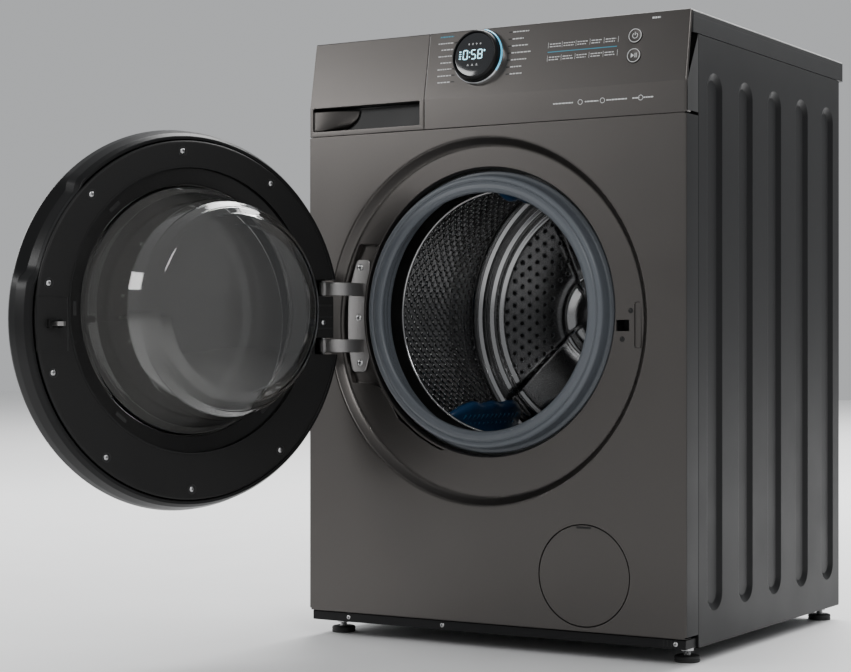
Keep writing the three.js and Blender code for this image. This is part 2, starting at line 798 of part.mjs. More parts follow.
function tubRear() {
  const r = TUB_R;
  const wall = TUB_WALL;
  const back = TUB_BACK_Y;
  const shell = turned(
    [
      [r, TUB_JOINT_Y],
      [r, back],
      [HUB_R, back],
      [HUB_R, back + 14],
      [26.5, back + 14],
      [26.5, back - 2],
      [22, back - 2],
      [22, back - 18],
      [31.5, back - 18],
      [31.5, FRONT_SEAT_Y],
      [HUB_R, FRONT_SEAT_Y],
      [HUB_R, back - wall],
      [r - wall, back - wall],
      [r - wall, TUB_JOINT_Y],
    ],
    DOOR_X,
    PORT_Z,
    BROAD,
  );
  const ears = [-1, 1].map((side) => {
    const x = side * SPRING_X;
    const [near, far] = side < 0 ? [x - 14, DOOR_X - 190] : [DOOR_X + 190, x + 14];
    return block(near, far, SPRING_Y - 10, SPRING_Y + 10, SPRING_SEAT_Z - 10, SPRING_SEAT_Z);
  });
  const motorLugs = [-58, 58].map((dx) => {
    const x = MOTOR_X + dx;
    return block(x - 9, x + 9, 362, 398, MOTOR_LUG_Z, 245);
  });
  const damperLugs = [-1, 1].map((side) => {
    const lug = cut(block(-11, 11, -11, 11, 206, 240), post(5.6, 200, DAMPER_LENGTH + 1, 0, 0, 12));
    return placeDamper(lug, side);
  });
  const inside = disc(r - wall, TUB_JOINT_Y - 1, back - wall, DOOR_X, PORT_Z);
  const lugs = [...ears, ...motorLugs, ...damperLugs].map((lug) => cut(lug, inside));
  return join(shell, ...lugs);
}

function bearing(outer, inner, y0, y1) {
  return turned([[outer, y0], [outer, y1], [inner, y1], [inner, y0]], DOOR_X, PORT_Z, MEDIUM);
}

// A coil spring standing on end.
function suspensionSpring(side) {
  const turns = 7;
  const stepsPerTurn = 8;
  const [z0, z1] = [SPRING_SEAT_Z + 2.9, HANGER_Z - 2.9];
  const points = Array.from({ length: turns * stepsPerTurn + 1 }, (_, i) => {
    const angle = (i / stepsPerTurn) * 2 * Math.PI;
    const z = z0 + ((z1 - z0) * i) / (turns * stepsPerTurn);
    return [side * SPRING_X + 11 * Math.cos(angle), SPRING_Y + 11 * Math.sin(angle), z];
  });
  return bar(points, 2, turns * stepsPerTurn, 2);
}

// Moves a piece made along a damper's own axis to its place; the dampers lean in towards the tub.
function placeDamper(geometry, side) {
  return geometry.rotateY(-side * rad(10)).translate(DOOR_X + side * 190, 300, 33);
}

// A friction damper between the base and the tub.
function damper(side) {
  const tube = post(13, 0, 120, 0, 0, COARSE);
  const rod = post(5, 119, DAMPER_LENGTH, 0, 0, 12);
  const shoe = block(-9, 9, -9, 9, -6, 2);
  return placeDamper(join(tube, rod, shoe), side);
}

function topCounterweight() {
  const slab = block(-70, 190, 110, 330, 655, 775);
  return cut(slab, disc(TUB_R + 1, 100, 340, DOOR_X, PORT_Z));
}

function frontCounterweight() {
  const y0 = 27;
  const y1 = TUB_FRONT_Y - GAP;
  const ring = turned([[TUB_R, y0], [TUB_R, y1], [205, y1], [205, y0]], DOOR_X, PORT_Z);
  const keep = block(DOOR_X - 260, DOOR_X + 260, 0, 60, HEATER_Z + 20, 352);
  return overlap(ring, keep);
}

// The bellows between the porthole and the tub: front bead, sealing lip and the fold to the tub's neck.
function doorGasket() {
  const line = [
    [193.8, 23],
    [193.8, 12],
    [187, 6.5],
    [173, 3.6],
    [163, 7],
    [171, 16],
    [176.5, 25],
    [176.5, 45],
  ];
  return turned(ribbon(line, 2.6), DOOR_X, PORT_Z);
}

function drumShell() {
  const r = DRUM_R;
  const back = DRUM_BACK_Y;
  return turned(
    [
      [30, back],
      [r - 5, back],
      [r, back - 6],
      [r, 81],
      [r - 7, 71],
      [172, 62],
      [167, 66],
      [169.5, 68],
      [172, 65],
      [r - 8, 73.5],
      [r - 2.5, 82],
      [r - 2.5, back - 7],
      [r - 6, back - 2.5],
      [30, back - 2.5],
    ],
    DOOR_X,
    PORT_Z,
    BROAD,
  );
}

// A ridge along the drum wall that lifts the washing.
function lifter() {
  const section = new THREE.Shape();
  section.moveTo(-30, -227);
  section.lineTo(30, -227);
  section.quadraticCurveTo(14, -215, 9, -178);
  section.quadraticCurveTo(0, -168, -9, -178);
  section.quadraticCurveTo(-14, -215, -30, -227);
  return frontPlate(section, 112, 356, 5);
}

// The three-armed carrier behind the drum, with the shaft that runs through the tub's bearings.
function drumSpider() {
  const y = DRUM_BACK_Y + GAP;
  const hub = turned(
    [
      [0, y - 6],
      [28, y - 6],
      [28, y + 12],
      [15, y + 12],
      [15, 412.8],
      [SHAFT_R, 412.8],
      [SHAFT_R, 472],
      [0, 472],
    ],
    0,
    0,
    MEDIUM,
  );
  const arms = [0, 1, 2].map((i) => {
    const arm = frontPlate(outline([[-17, 18], [17, 18], [9, 224], [-9, 224]]), y + 0.2, y + 10);
    return arm.rotateY(-rad(60 + 120 * i));
  });
  return join(hub, ...arms);
}

function drumPulley() {
  const y0 = PULLEY_Y - 8;
  const y1 = PULLEY_Y + 8;
  const wheel = turned(
    [
      [SHAFT_R + GAP, y0 - 2],
      [24, y0 - 2],
      [24, PULLEY_Y - 2.5],
      [PULLEY_R - 8, PULLEY_Y - 2.5],
      [PULLEY_R - 8, y0],
      [PULLEY_R, y0],
      [PULLEY_R, y1],
      [PULLEY_R - 8, y1],
      [PULLEY_R - 8, PULLEY_Y + 2.5],
      [24, PULLEY_Y + 2.5],
      [24, y1 + 1],
      [SHAFT_R + GAP, y1 + 1],
    ],
    0,
    0,
    BROAD,
  );
  const windows = [0, 1, 2, 3, 4].map((i) => {
    const angle = rad(72 * i);
    return disc(26, y0, y1, 80 * Math.cos(angle), 80 * Math.sin(angle), 12);
  });
  return cut(wheel, ...windows);
}

// The outline of a belt run round two pulleys, the small one a given distance along +X.
function beltOutline(big, small, distance) {
  const wrap = Math.acos((big - small) / distance);
  const shape = new THREE.Shape();
  shape.absarc(0, 0, big, wrap, 2 * Math.PI - wrap);
  shape.absarc(distance, 0, small, -wrap, wrap);
  return shape;
}

function driveBelt() {
  const [dx, dz] = [MOTOR_X - DOOR_X, MOTOR_Z - PORT_Z];
  const distance = Math.hypot(dx, dz);
  const inner = 2 * GAP;
  const outer = inner + 3;
  const loop = (grow, y0, y1) =>
    frontPlate(beltOutline(PULLEY_R + grow, MOTOR_PULLEY_R + grow, distance), y0, y1, 12);
  const belt = cut(loop(outer, PULLEY_Y - 6, PULLEY_Y + 6), loop(inner, PULLEY_Y - 7, PULLEY_Y + 7));
  return belt.rotateY(-Math.atan2(dz, dx)).translate(DOOR_X, 0, PORT_Z);
}

function driveMotor() {
  const can = disc(56, 330, 438, MOTOR_X, MOTOR_Z, MEDIUM);
  const nose = disc(18, 437, 446, MOTOR_X, MOTOR_Z, COARSE);
  const mount = block(MOTOR_X - 70, MOTOR_X + 70, 360, 400, MOTOR_LUG_Z - 12, MOTOR_LUG_Z - GAP);
  const bore = disc(5 + GAP, 432, 447, MOTOR_X, MOTOR_Z, COARSE);
  return cut(join(can, nose, mount), bore);
}

function motorPulley() {
  const wheel = disc(MOTOR_PULLEY_R, PULLEY_Y - 8, PULLEY_Y + 8, 0, 0, COARSE);
  const stub = disc(5, 434, PULLEY_Y + 11, 0, 0, 12);
  return join(wheel, stub);
}

// ---------------------------------------------------------------- door

// The bracket screwed into the recess, with two arms that reach forward to the hinge pin.
function hingeBracket() {
  const y1 = POCKET_Y - 0.3;
  const y0 = y1 - 3;
  const slab = frontPlate(roundedOutline(-243, -203, 378, 538, 7), y0, y1, 3);
  const room = disc(RECESS_R - 12, y0 - 1, y1 + 1, DOOR_X, RECESS_Z);
  const plate = cut(overlap(slab, room), disc(PORT_R + 5, y0 - 1, y1 + 1, DOOR_X, PORT_Z));
  const path = new THREE.CubicBezierCurve(
    new THREE.Vector2(-216.5, y0 + 1),
    new THREE.Vector2(-216.5, -14),
    new THREE.Vector2(-226, -32),
    new THREE.Vector2(HINGE_X + 3, HINGE_Y),
  );
  const line = path.getPoints(6).map((p) => [p.x, p.y]);
  const arms = ARM_CENTRES.map((z) => {
    const strip = levelPlate(outline(ribbon(line, 5)), z - ARM_HEIGHT / 2, z + ARM_HEIGHT / 2);
    return join(strip, post(6.3, z - ARM_HEIGHT / 2, z + ARM_HEIGHT / 2, HINGE_X, HINGE_Y));
  });
  const bore = post(PIN_R + GAP, 380, 530, HINGE_X, HINGE_Y);
  return cut(join(plate, ...arms), bore);
}

function hingePin() {
  const reach = ARM_SPACING / 2 + ARM_HEIGHT / 2;
  return post(PIN_R, HINGE_Z - reach - 1.5, HINGE_Z + reach + 1.5, HINGE_X, HINGE_Y);
}

// The shell round the door: front rim, tapering wall and back edge, with a finger grip.
function doorOuterRing() {
  const shell = turned(
    [
      [178, -52],
      [236, -50.5],
      [246, -46],
      [251, -40],
      [DOOR_R, -33],
      [246, -7],
      [240, 0.5],
      [237, 0.5],
      [243, -8],
      [249.3, -33],
      [248, -38.5],
      [243.5, -43.5],
      [235, -47.5],
      [178, -49],
    ],
    DOOR_X,
    RECESS_Z,
  );
  const notch = block(-280, NOTCH_X, NOTCH_Y, 20, NOTCH_LOW, NOTCH_HIGH);
  return cut(shell, notch);
}

function doorOuterWindow() {
  return turned(
    [
      [0, -56],
      [100, -55.2],
      [177.6, -51.8],
      [177.6, -48.8],
      [100, -52.2],
      [0, -53],
    ],
    DOOR_X,
    RECESS_Z,
  );
}

// The frame on the door's inner side: a flat ring, a step and a dish down to the glass.
function doorInnerFrame() {
  const ring = [
    [FRAME_R, -1],
    [FRAME_R, 2],
    [FRAME_R - 2, 4],
    [150, 4],
    [150, -1.4],
    [FRAME_R - 3, 1],
  ];
  const plate = cut(
    turned(ring, DOOR_X, RECESS_Z, FRAME_SIDES),
    disc(FRAME_OPENING_R, -4, 6, DOOR_X, PORT_Z, OPENING_SIDES),
  );
  const dish = turned(
    [
      [192, 1.6],
      [192, 3.4],
      [189, 3.4],
      [187.4, -3],
      [GLASS_OPENING_R, -8],
      [GLASS_OPENING_R, -11],
      [185, -6.2],
      [186.8, 1.6],
    ],
    DOOR_X,
    PORT_Z,
    DISH_SIDES,
  );
  const notch = block(-280, NOTCH_X, -20, 20, NOTCH_LOW, NOTCH_HIGH);
  const hookSlot = block(LOCK_X - 9, LOCK_X + 11, -5, 8, LOCK_Z - 6, LOCK_Z + 6);
  return cut(join(plate, dish), notch, hookSlot);
}

// The pressed-glass bowl that reaches into the drum mouth.
function doorGlassBowl() {
  return turned(
    [
      [0, 111],
      [114, 109],
      [130, 99],
      [140, 79],
      [150, 35],
      [155, 10],
      [163.2, -4],
      [164.8, -11.4],
      [172, -11.4],
      [172, -14.4],
      [161, -14.4],
      [160, -6],
      [151, 9],
      [146, 34.5],
      [136.5, 75],
      [127, 95],
      [113, 105],
      [0, 107],
    ],
    DOOR_X,
    PORT_Z,
  );
}

// The block that fills the door's edge between the two hinge arms and turns on the pin.
function doorHingeBlock() {
  const reach = ARM_SPACING / 2 - ARM_HEIGHT / 2 - 1;
  const body = block(-262, NOTCH_X - GAP, NOTCH_Y + GAP, 3.6, HINGE_Z - reach, HINGE_Z + reach);
  const round = disc(249.5, -60, 10, DOOR_X, RECESS_Z);
  const inner = turned([[262, 6], [262, -9], [FRAME_R + 3, 6]], DOOR_X, RECESS_Z);
  return cut(overlap(body, round), inner, post(PIN_R + GAP, 380, 530, HINGE_X, HINGE_Y));
}

// The catch that the door lock grips; it pivots in the door behind the frame.
function latchHook() {
  const shape = outline([
    [LOCK_X - 2.7, -9],
    [LOCK_X + 3.3, -9],
    [LOCK_X + 3.3, 19],
    [LOCK_X - 0.5, 25],
    [LOCK_X - 6, 22],
    [LOCK_X - 6, 18],
    [LOCK_X - 2.7, 16],
  ]);
  return levelPlate(shape, LOCK_Z - 3, LOCK_Z + 3);
}

// ---------------------------------------------------------------- feet
function foot() {
  const shape = [
    [0, 0],
    [FOOT_R, 0],
    [FOOT_R, 7],
    [FOOT_R - 2, 9],
    [5, 9],
    [5, 44],
    [0, 44],
  ];
  const points = shape.map(([r, z]) => new THREE.Vector2(r, z));
  const turnedFoot = new THREE.LatheGeometry(points, 16).rotateX(Math.PI / 2);
  return join(turnedFoot, post(9.5, 14, 20.5, 0, 0, 6));
}

// ---------------------------------------------------------------- assembly
add("base_tray", baseTray(), blackPaint);
add("left_side_panel", sidePanel(-1), blackPaint);
add("right_side_panel", sidePanel(1), blackPaint);
add("rear_panel", rearPanel(), blackPaint);
add("rear_access_cover", accessCover(), blackPaint);
add("front_panel", frontPanel(), titanium);
add("top_cover", topCover(), blackPaint);
add("service_hatch", serviceHatch(), titanium);

add("control_fascia", fascia(), titanium);
add("control_board", controlBoard(), green);
add("drawer_front", drawerFront(), titanium);
add("drawer_tray", drawerTray(), greyPlastic);
add("siphon_cap", siphonCap(), navyPlastic);
add("detergent_housing", detergentHousing(), whitePlastic);

const dial = faceGroup(DIAL_X, DIAL_Z);
machine.add(dial);
add("dial_trim_ring", dialRing(), chrome, dial);
add("dial_knob", dialKnob(), glossBlack, dial);
add("dial_display", dialDisplay(), glossBlack, dial);

for (const [name, z] of [["power_button", POWER_Z], ["start_button", START_Z]]) {
  const seat = faceGroup(BUTTON_X, z);
  machine.add(seat);
  add(name, pushButton(), titanium, seat);
}

add("inlet_valve", inletValve(), whitePlastic);
add("drain_outlet", drainOutlet(), greyPlastic);
add("cord_gland", cordGland(), blackPlastic);
add("door_lock", doorLock(), blackPlastic);
add("drain_pump", drainPump(), whitePlastic);
add("filter_cap", filterCap(), greyPlastic);
add("sump_hose", sumpHose(), blackRubber);

add("tub_front", tubFront(), greyPlastic);
add("tub_rear", tubRear(), greyPlastic);
add("tub_heater", tubHeater(), steel);
add("front_bearing", bearing(31.1, 15.4, FRONT_SEAT_Y + 1, 413.5), steel);
add("rear_bearing", bearing(26.1, SHAFT_R + GAP, 430.6, 445), steel);
add("front_counterweight", frontCounterweight(), concrete);
add("top_counterweight", topCounterweight(), concrete);
add("left_spring", suspensionSpring(-1), steel);
add("right_spring", suspensionSpring(1), steel);
add("left_damper", damper(-1), steel);
add("right_damper", damper(1), steel);
add("door_gasket", doorGasket(), rubber);

add("drum_shell", drumShell(), steel);
for (let i = 0; i < LIFTER_COUNT; i += 1) {
  const mesh = add("lifter_" + (i + 1), lifter(), navyPlastic);
  mesh.rotation.y = -rad(90 + LIFTER_ANGLE + (360 / LIFTER_COUNT) * i);
  mesh.position.set(DOOR_X, 0, PORT_Z);
}

const shaftLine = new THREE.Group();
shaftLine.position.set(DOOR_X, 0, PORT_Z);
machine.add(shaftLine);
add("drum_spider", drumSpider(), castIron, shaftLine);
add("drum_pulley", drumPulley(), castIron, shaftLine);
add("drive_belt", driveBelt(), blackRubber);
add("drive_motor", driveMotor(), castIron);
const pulley = add("motor_pulley", motorPulley(), steel);
pulley.position.set(MOTOR_X, 0, MOTOR_Z);

add("hinge_bracket", hingeBracket(), zinc);
add("hinge_pin", hingePin(), steel);

// the door hangs on the pin and is turned open
const door = new THREE.Group();
door.position.set(HINGE_X, HINGE_Y, 0);
door.rotation.z = -rad(DOOR_OPEN);
machine.add(door);
const doorPieces = [
  ["door_outer_ring", doorOuterRing(), glossBlack],
  ["door_outer_window", doorOuterWindow(), smokedGlass],
  ["door_inner_frame", doorInnerFrame(), blackPlastic],
  ["door_glass_bowl", doorGlassBowl(), smokedGlass],
  ["door_hinge_block", doorHingeBlock(), blackPlastic],
  ["latch_hook", latchHook(), zinc],
];
for (const [name, geometry, look] of doorPieces) {
  add(name, geometry.translate(-HINGE_X, -HINGE_Y, 0), look, door);
}

const footNames = ["front_left_foot", "front_right_foot", "rear_left_foot", "rear_right_foot"];
footPlaces().forEach(([x, y], i) => {
  const mesh = add(footNames[i], foot(), blackRubber);
  mesh.position.set(x, y, 0);
});

// the origin goes to the middle of the bounding box's bottom face
machine.updateMatrixWorld(true);
const bounds = new THREE.Box3().setFromObject(machine, true);
const centre = bounds.getCenter(new THREE.Vector3());
machine.position.set(-centre.x, -centre.y, -bounds.min.z);

export default machine;
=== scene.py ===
# Looks for the front load washing machine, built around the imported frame.
# Shapes are written in millimetres in the machine's own axes: x = 0 is the middle of the cabinet,
# y = 0 is the face of the front panel and z = 0 is the floor. Door pieces are written as if the door
# were shut, and place() turns them open about the hinge.
import json
import math
import random

import bmesh
import bpy
from mathutils import Matrix, Vector


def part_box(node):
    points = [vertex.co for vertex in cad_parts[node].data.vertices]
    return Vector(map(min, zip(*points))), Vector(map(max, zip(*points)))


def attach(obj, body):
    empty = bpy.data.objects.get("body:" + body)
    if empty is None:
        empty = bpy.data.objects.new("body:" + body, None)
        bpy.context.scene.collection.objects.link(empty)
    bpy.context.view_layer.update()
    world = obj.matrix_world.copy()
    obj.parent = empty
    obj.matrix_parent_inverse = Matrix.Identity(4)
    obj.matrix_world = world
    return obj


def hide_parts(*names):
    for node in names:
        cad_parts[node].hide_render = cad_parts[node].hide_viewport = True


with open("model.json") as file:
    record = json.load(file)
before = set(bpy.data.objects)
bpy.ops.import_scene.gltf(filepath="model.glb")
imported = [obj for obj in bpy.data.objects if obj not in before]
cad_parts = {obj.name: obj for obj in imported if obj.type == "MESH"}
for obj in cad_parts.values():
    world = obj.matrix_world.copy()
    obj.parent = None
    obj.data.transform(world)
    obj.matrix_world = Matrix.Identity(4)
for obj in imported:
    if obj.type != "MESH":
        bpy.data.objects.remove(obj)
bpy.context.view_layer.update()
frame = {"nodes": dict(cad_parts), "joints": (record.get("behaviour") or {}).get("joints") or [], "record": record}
random.seed(7)

MM = 0.001
PI = math.pi
TINY = 1e-6
MOST_OF_SIDE = 0.48
NEARLY_STRAIGHT = 0.04
SMALLEST_SPREAD = 0.35
BEVEL_ANGLE = math.radians(35)
SMOOTH_DEGREES = 38
SLOW_GRAIN = 9

# ---------------------------------------------------------------- sizes and places
panel_low, panel_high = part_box("front_panel")
_, lid_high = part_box("top_cover")
MID_X = (panel_low.x + panel_high.x) / 2
FACE_Y = panel_low.y
HALF = (panel_high.x - panel_low.x) / 2 / MM
HEIGHT = lid_high.z / MM
BACK_Y = (lid_high.y - FACE_Y) / MM

joints = {joint["name"]: joint for joint in frame["joints"]}


def machine_mm(point):
    """A point of the row frame, in metres, as millimetres in the machine's own axes."""
    return Vector(((point[0] - MID_X) / MM, (point[1] - FACE_Y) / MM, point[2] / MM))


hinge = machine_mm(joints["door_hinge"]["pos_m"])
drum_axis = machine_mm(joints["drum_spin"]["pos_m"])
dial_place = machine_mm(joints["dial_turn"]["pos_m"])
DOOR_OPEN = math.radians(107)

DOOR_X = drum_axis.x
PORT_Z = drum_axis.z
RECESS_Z = 448
RECESS_R = 249
PORT_R = 196
FLOOR_Y = 12.7
POCKET_Y = 20.7
HATCH_X = 148
HATCH_Z = 110
HATCH_R = 68
LOCK_X = 199.5
LOCK_Z = 441
PANEL_LOW = 36
PANEL_TOP = 714.1
FASCIA_LOW = 714.5
CREASE_Z = 756
SETBACK = 16
LEAN = math.atan2(SETBACK, HEIGHT - CREASE_Z)
SPLIT_X = -102.3
LID_Z = 820
BUTTON_X = 219
BUTTON_Z = {"power_button": 820, "start_button": 793.5}
DRUM_R = 231
DRUM_FRONT_Y = 82
DRUM_BACK_Y = 372
DRUM_HOLES_Y = (DRUM_FRONT_Y + 10, DRUM_BACK_Y - 14)
BACK_FLAT_Y = DRUM_BACK_Y + 3
LIFTER_ANGLES = [math.radians(-132 + 120 * i) for i in range(3)]
AROUND = 88
ROWS = 31
LIFTER_HALF_TURN = 0.12
ROUND = 144
SHEET = 0.8
RETURN_Y = 36
REAR_Y = 548.6
PULL = (-291, -110, 722, 755)
PULL_DEPTH = 17.5
ARM_Z = (415, 495)
BLOCK_GAP = (-285, -205, 403, 507)
GRIP = (math.radians(11), math.radians(45))
MARK_PROUD = 0.95
DISPLAY_PROUD = 16.35
CAMERA_MM = (1358.24, -2282.28, 403.11)
CAMERA_YAW = math.radians(30.68)


# ---------------------------------------------------------------- materials
def look(
    name,
    color,
    roughness,
    metallic=0.0,
    grain=900.0,
    bump=0.03,
    depth=0.0003,
    variation=0.12,
    smudge=0.08,
    stretch=(1, 1, 1),
    coat=0.0,
    specular=0.5,
    emission=None,
    transmission=0.0,
    ior=1.5,
):
    """A procedural material: fine grain in the surface, and slow changes in colour and gloss."""
    material = bpy.data.materials.new(name)
    material.use_nodes = True
    nodes = material.node_tree.nodes
    links = material.node_tree.links
    shader = nodes["Principled BSDF"]
    shader.inputs["Metallic"].default_value = metallic
    shader.inputs["IOR"].default_value = ior
    shader.inputs["Coat Weight"].default_value = coat
    shader.inputs["Specular IOR Level"].default_value = specular
    shader.inputs["Coat Roughness"].default_value = 0.08
    shader.inputs["Transmission Weight"].default_value = transmission
    if emission:
        shader.inputs["Emission Color"].default_value = (*emission[0], 1)
        shader.inputs["Emission Strength"].default_value = emission[1]
    place = nodes.new("ShaderNodeTexCoord")
    mapping = nodes.new("ShaderNodeMapping")
    mapping.inputs["Scale"].default_value = stretch
    links.new(place.outputs["Object"], mapping.inputs["Vector"])
    fine = nodes.new("ShaderNodeTexNoise")
    fine.inputs["Scale"].default_value = grain
    fine.inputs["Detail"].default_value = 3
    slow = nodes.new("ShaderNodeTexNoise")
    slow.inputs["Scale"].default_value = SLOW_GRAIN
    slow.inputs["Detail"].default_value = 4
    links.new(mapping.outputs["Vector"], fine.inputs["Vector"])
    links.new(place.outputs["Object"], slow.inputs["Vector"])
    tone = nodes.new("ShaderNodeMapRange")
    tone.inputs["To Min"].default_value = 1 - variation
    tone.inputs["To Max"].default_value = 1 + variation
    links.new(fine.outputs["Fac"], tone.inputs["Value"])
    tint = nodes.new("ShaderNodeVectorMath")
    tint.operation = "SCALE"
    tint.inputs[0].default_value = color
    links.new(tone.outputs["Result"], tint.inputs["Scale"])
    links.new(tint.outputs["Vector"], shader.inputs["Base Color"])
    gloss = nodes.new("ShaderNodeMapRange")
    gloss.inputs["From Min"].default_value = 0.3
    gloss.inputs["From Max"].default_value = 0.7
    gloss.inputs["To Min"].default_value = max(roughness - smudge, 0.01)
    gloss.inputs["To Max"].default_value = roughness + smudge
    links.new(slow.outputs["Fac"], gloss.inputs["Value"])
    links.new(gloss.outputs["Result"], shader.inputs["Roughness"])
    if bump:
        relief = nodes.new("ShaderNodeBump")
        relief.inputs["Strength"].default_value = bump
        relief.inputs["Distance"].default_value = depth
        links.new(fine.outputs["Fac"], relief.inputs["Height"])
        links.new(relief.outputs["Normal"], shader.inputs["Normal"])
    return material


BRUSHED_X = (0.04, 1, 1)
TITANIUM = look("titanium_paint", (0.088, 0.082, 0.078), 0.32, 0.92, 2600, 0.10, 0.0001, 0.14, 0.02)
SIDE_PAINT = look(
    "black_sheet_paint", (0.009, 0.009, 0.0095), 0.36, 0.0, 1100, 0.1, 0.0002, 0.1, 0.04, specular=0.14
)
TOP_PAINT = look("top_paint", (0.012, 0.012, 0.0125), 0.42, 0.0, 1400, 0.1, 0.0002, 0.1, 0.05, specular=0.16)
GLOSS_BLACK = look(
    "gloss_black", (0.006, 0.006, 0.0062), 0.34, 0.0, 900, 0.05, 0.0002, 0.1, 0.04, specular=0.18
)
MATT_BLACK = look(
    "matt_black_grain", (0.0085, 0.0083, 0.0082), 0.48, 0.0, 1900, 0.2, 0.0002, 0.2, 0.05, specular=0.25
)
SATIN_BLACK = look("satin_black", (0.01, 0.01, 0.01), 0.4, 0.0, 1500, 0.1, 0.0002, 0.12, 0.05, specular=0.4)
# near black for the drawer pull, lamps, joints and black screws; also painted shade in screw recesses, holes,
# slots and the hatch notch
BLACK_AND_SHADE = look("black_and_painted_shade", (0.006, 0.006, 0.006), 0.4, 0.0, 1200, 0.1, 0.0002, 0.1, 0.04, specular=0.3)
GREY_PLASTIC = look("grey_plastic", (0.32, 0.32, 0.315), 0.5, 0.0, 1500, 0.15, 0.0002, 0.06, 0.05)
WHITE_PLASTIC = look("white_plastic", (0.72, 0.72, 0.71), 0.45, 0.0, 1500, 0.12, 0.0002, 0.04, 0.05)
NAVY = look("navy_plastic", (0.012, 0.05, 0.125), 0.32, 0.0, 900, 0.06, 0.0002, 0.1, 0.05)
SLOT_BLUE = look("slot_blue", (0.02, 0.1, 0.2), 0.35, 0.0, 900, 0.05, 0.0002, 0.1, 0.05)
ZINC = look("plated_casting", (0.33, 0.32, 0.315), 0.34, 0.9, 1700, 0.25, 0.0002, 0.15, 0.06)
CHROME = look("chrome", (0.72, 0.73, 0.74), 0.1, 1.0, 500, 0.01, 0.0001, 0.03, 0.03)
DRUM_STEEL = look(
    "drum_steel", (0.31, 0.31, 0.312), 0.14, 1.0, 1800, 0.04, 0.0001, 0.08, 0.04, stretch=BRUSHED_X
)
SCREW_STEEL = look("screw_steel", (0.55, 0.55, 0.55), 0.28, 1.0, 1600, 0.12, 0.0001, 0.12, 0.06)
CAST_IRON = look("cast_iron", (0.16, 0.165, 0.17), 0.6, 0.8, 700, 0.4, 0.0004, 0.2, 0.08)
CONCRETE = look("concrete", (0.28, 0.27, 0.255), 0.92, 0.0, 420, 0.6, 0.001, 0.25, 0.05)
GASKET = look("gasket_rubber", (0.083, 0.093, 0.106), 0.38, 0.0, 1300, 0.1, 0.0002, 0.08, 0.06)
# black rubber for the feet and frame parts; also painted shade in the gasket's drain holes
BLACK_RUBBER_AND_SHADE = look("black_rubber", (0.014, 0.014, 0.014), 0.7, 0.0, 1100, 0.3, 0.0003, 0.2, 0.06)
BOWL_GLASS = look(
    "door_glass", (0.93, 0.93, 0.92), 0.02, 0.0, 60, 0.0, 0.0001, 0.01, 0.01, transmission=1.0, ior=1.47
)
SMOKED_PANE = look("smoked_pane", (0.06, 0.057, 0.054), 0.12, 0.0, 200, 0.0, 0.0001, 0.05, 0.03, coat=0.6)
DISPLAY_GLASS = look(
    "display_glass", (0.006, 0.007, 0.009), 0.08, 0.0, 200, 0.0, 0.0001, 0.05, 0.02, coat=0.5
)
BOARD_GREEN = look("circuit_board", (0.02, 0.1, 0.05), 0.5, 0.0, 800, 0.1, 0.0002, 0.2, 0.06)
PRINT_WHITE = look("print_white", (0.62, 0.63, 0.63), 0.5, 0.0, 1500, 0.05, 0.0001, 0.06, 0.04)
PRINT_GREY = look("print_grey", (0.36, 0.35, 0.34), 0.45, 0.0, 1500, 0.05, 0.0001, 0.06, 0.04)
PRINT_CYAN = look("print_cyan", (0.02, 0.28, 0.42), 0.45, 0.0, 1500, 0.05, 0.0001, 0.06, 0.04)
DIGIT_LIGHT = look("digit_light", (0.4, 0.75, 0.85), 0.4, emission=((0.45, 0.85, 1.0), 2.2), bump=0)
CYAN_LIGHT = look("cyan_light", (0.05, 0.45, 0.65), 0.4, emission=((0.03, 0.42, 0.7), 1.1), bump=0)

SLOT_LOOKS = {
    "titanium": TITANIUM,
    "black_paint": SIDE_PAINT,
    "black_plastic": MATT_BLACK,
    "gloss_black": GLOSS_BLACK,
    "grey_plastic": GREY_PLASTIC,
    "white_plastic": WHITE_PLASTIC,
    "zinc": ZINC,
    "chrome": CHROME,
    "steel": SCREW_STEEL,
    "cast_iron": CAST_IRON,
    "concrete": CONCRETE,
    "grey_rubber": GASKET,
    "black_rubber": BLACK_RUBBER_AND_SHADE,
    "smoked_glass": SMOKED_PANE,
    "navy_plastic": NAVY,
    "board_green": BOARD_GREEN,
}


# ---------------------------------------------------------------- outlines
def soften(points, radius, steps=4, closed=False):
    """A line of 2-D points with its corners rounded. A point's third number is its own radius."""
    count = len(points)
    out = []
    for i, point in enumerate(points):
        own = point[2] if len(point) > 2 else radius
        corner = Vector(point[:2])
        if own <= 0 or (not closed and i in (0, count - 1)):
            out.append(corner)
            continue
        to_last = Vector(points[i - 1][:2]) - corner
        to_next = Vector(points[(i + 1) % count][:2]) - corner
        reach = min(to_last.length, to_next.length) * MOST_OF_SIDE
        to_last.normalize()
        to_next.normalize()
        angle = to_last.angle(to_next)
        if PI - angle < NEARLY_STRAIGHT:
            out.append(corner)
            continue
        cut = min(own / math.tan(angle / 2), reach)
        real = cut * math.tan(angle / 2)
        centre = corner + (to_last + to_next).normalized() * (real / math.sin(angle / 2))
        start = corner + to_last * cut - centre
        end = corner + to_next * cut - centre
        sweep = math.atan2(start.cross(end), start.dot(end))
        for k in range(steps + 1):
            turned = start.copy()
            turned.rotate(Matrix.Rotation(sweep * k / steps, 2))
            out.append(centre + turned)
    return [(p.x, p.y) for p in out]


def inset(points, distance, closed=True):
    """A line of 2-D points moved sideways, to its left as it runs, by a distance."""
    count = len(points)
    out = []
    for i in range(count):
        last = Vector(points[i - 1 if closed or i else 0])
        here = Vector(points[i])
        after = Vector(points[(i + 1) % count if closed or i < count - 1 else i])
        first = (here - last if (here - last).length > TINY else after - here).normalized()
        second = (after - here).normalized() if (after - here).length > TINY else first
        side = Vector((-first.y - second.y, first.x + second.x))
        side.normalize()
        spread = max(side.dot(Vector((-first.y, first.x))), SMALLEST_SPREAD)
        out.append(tuple(here + side * (distance / spread)))
    return out


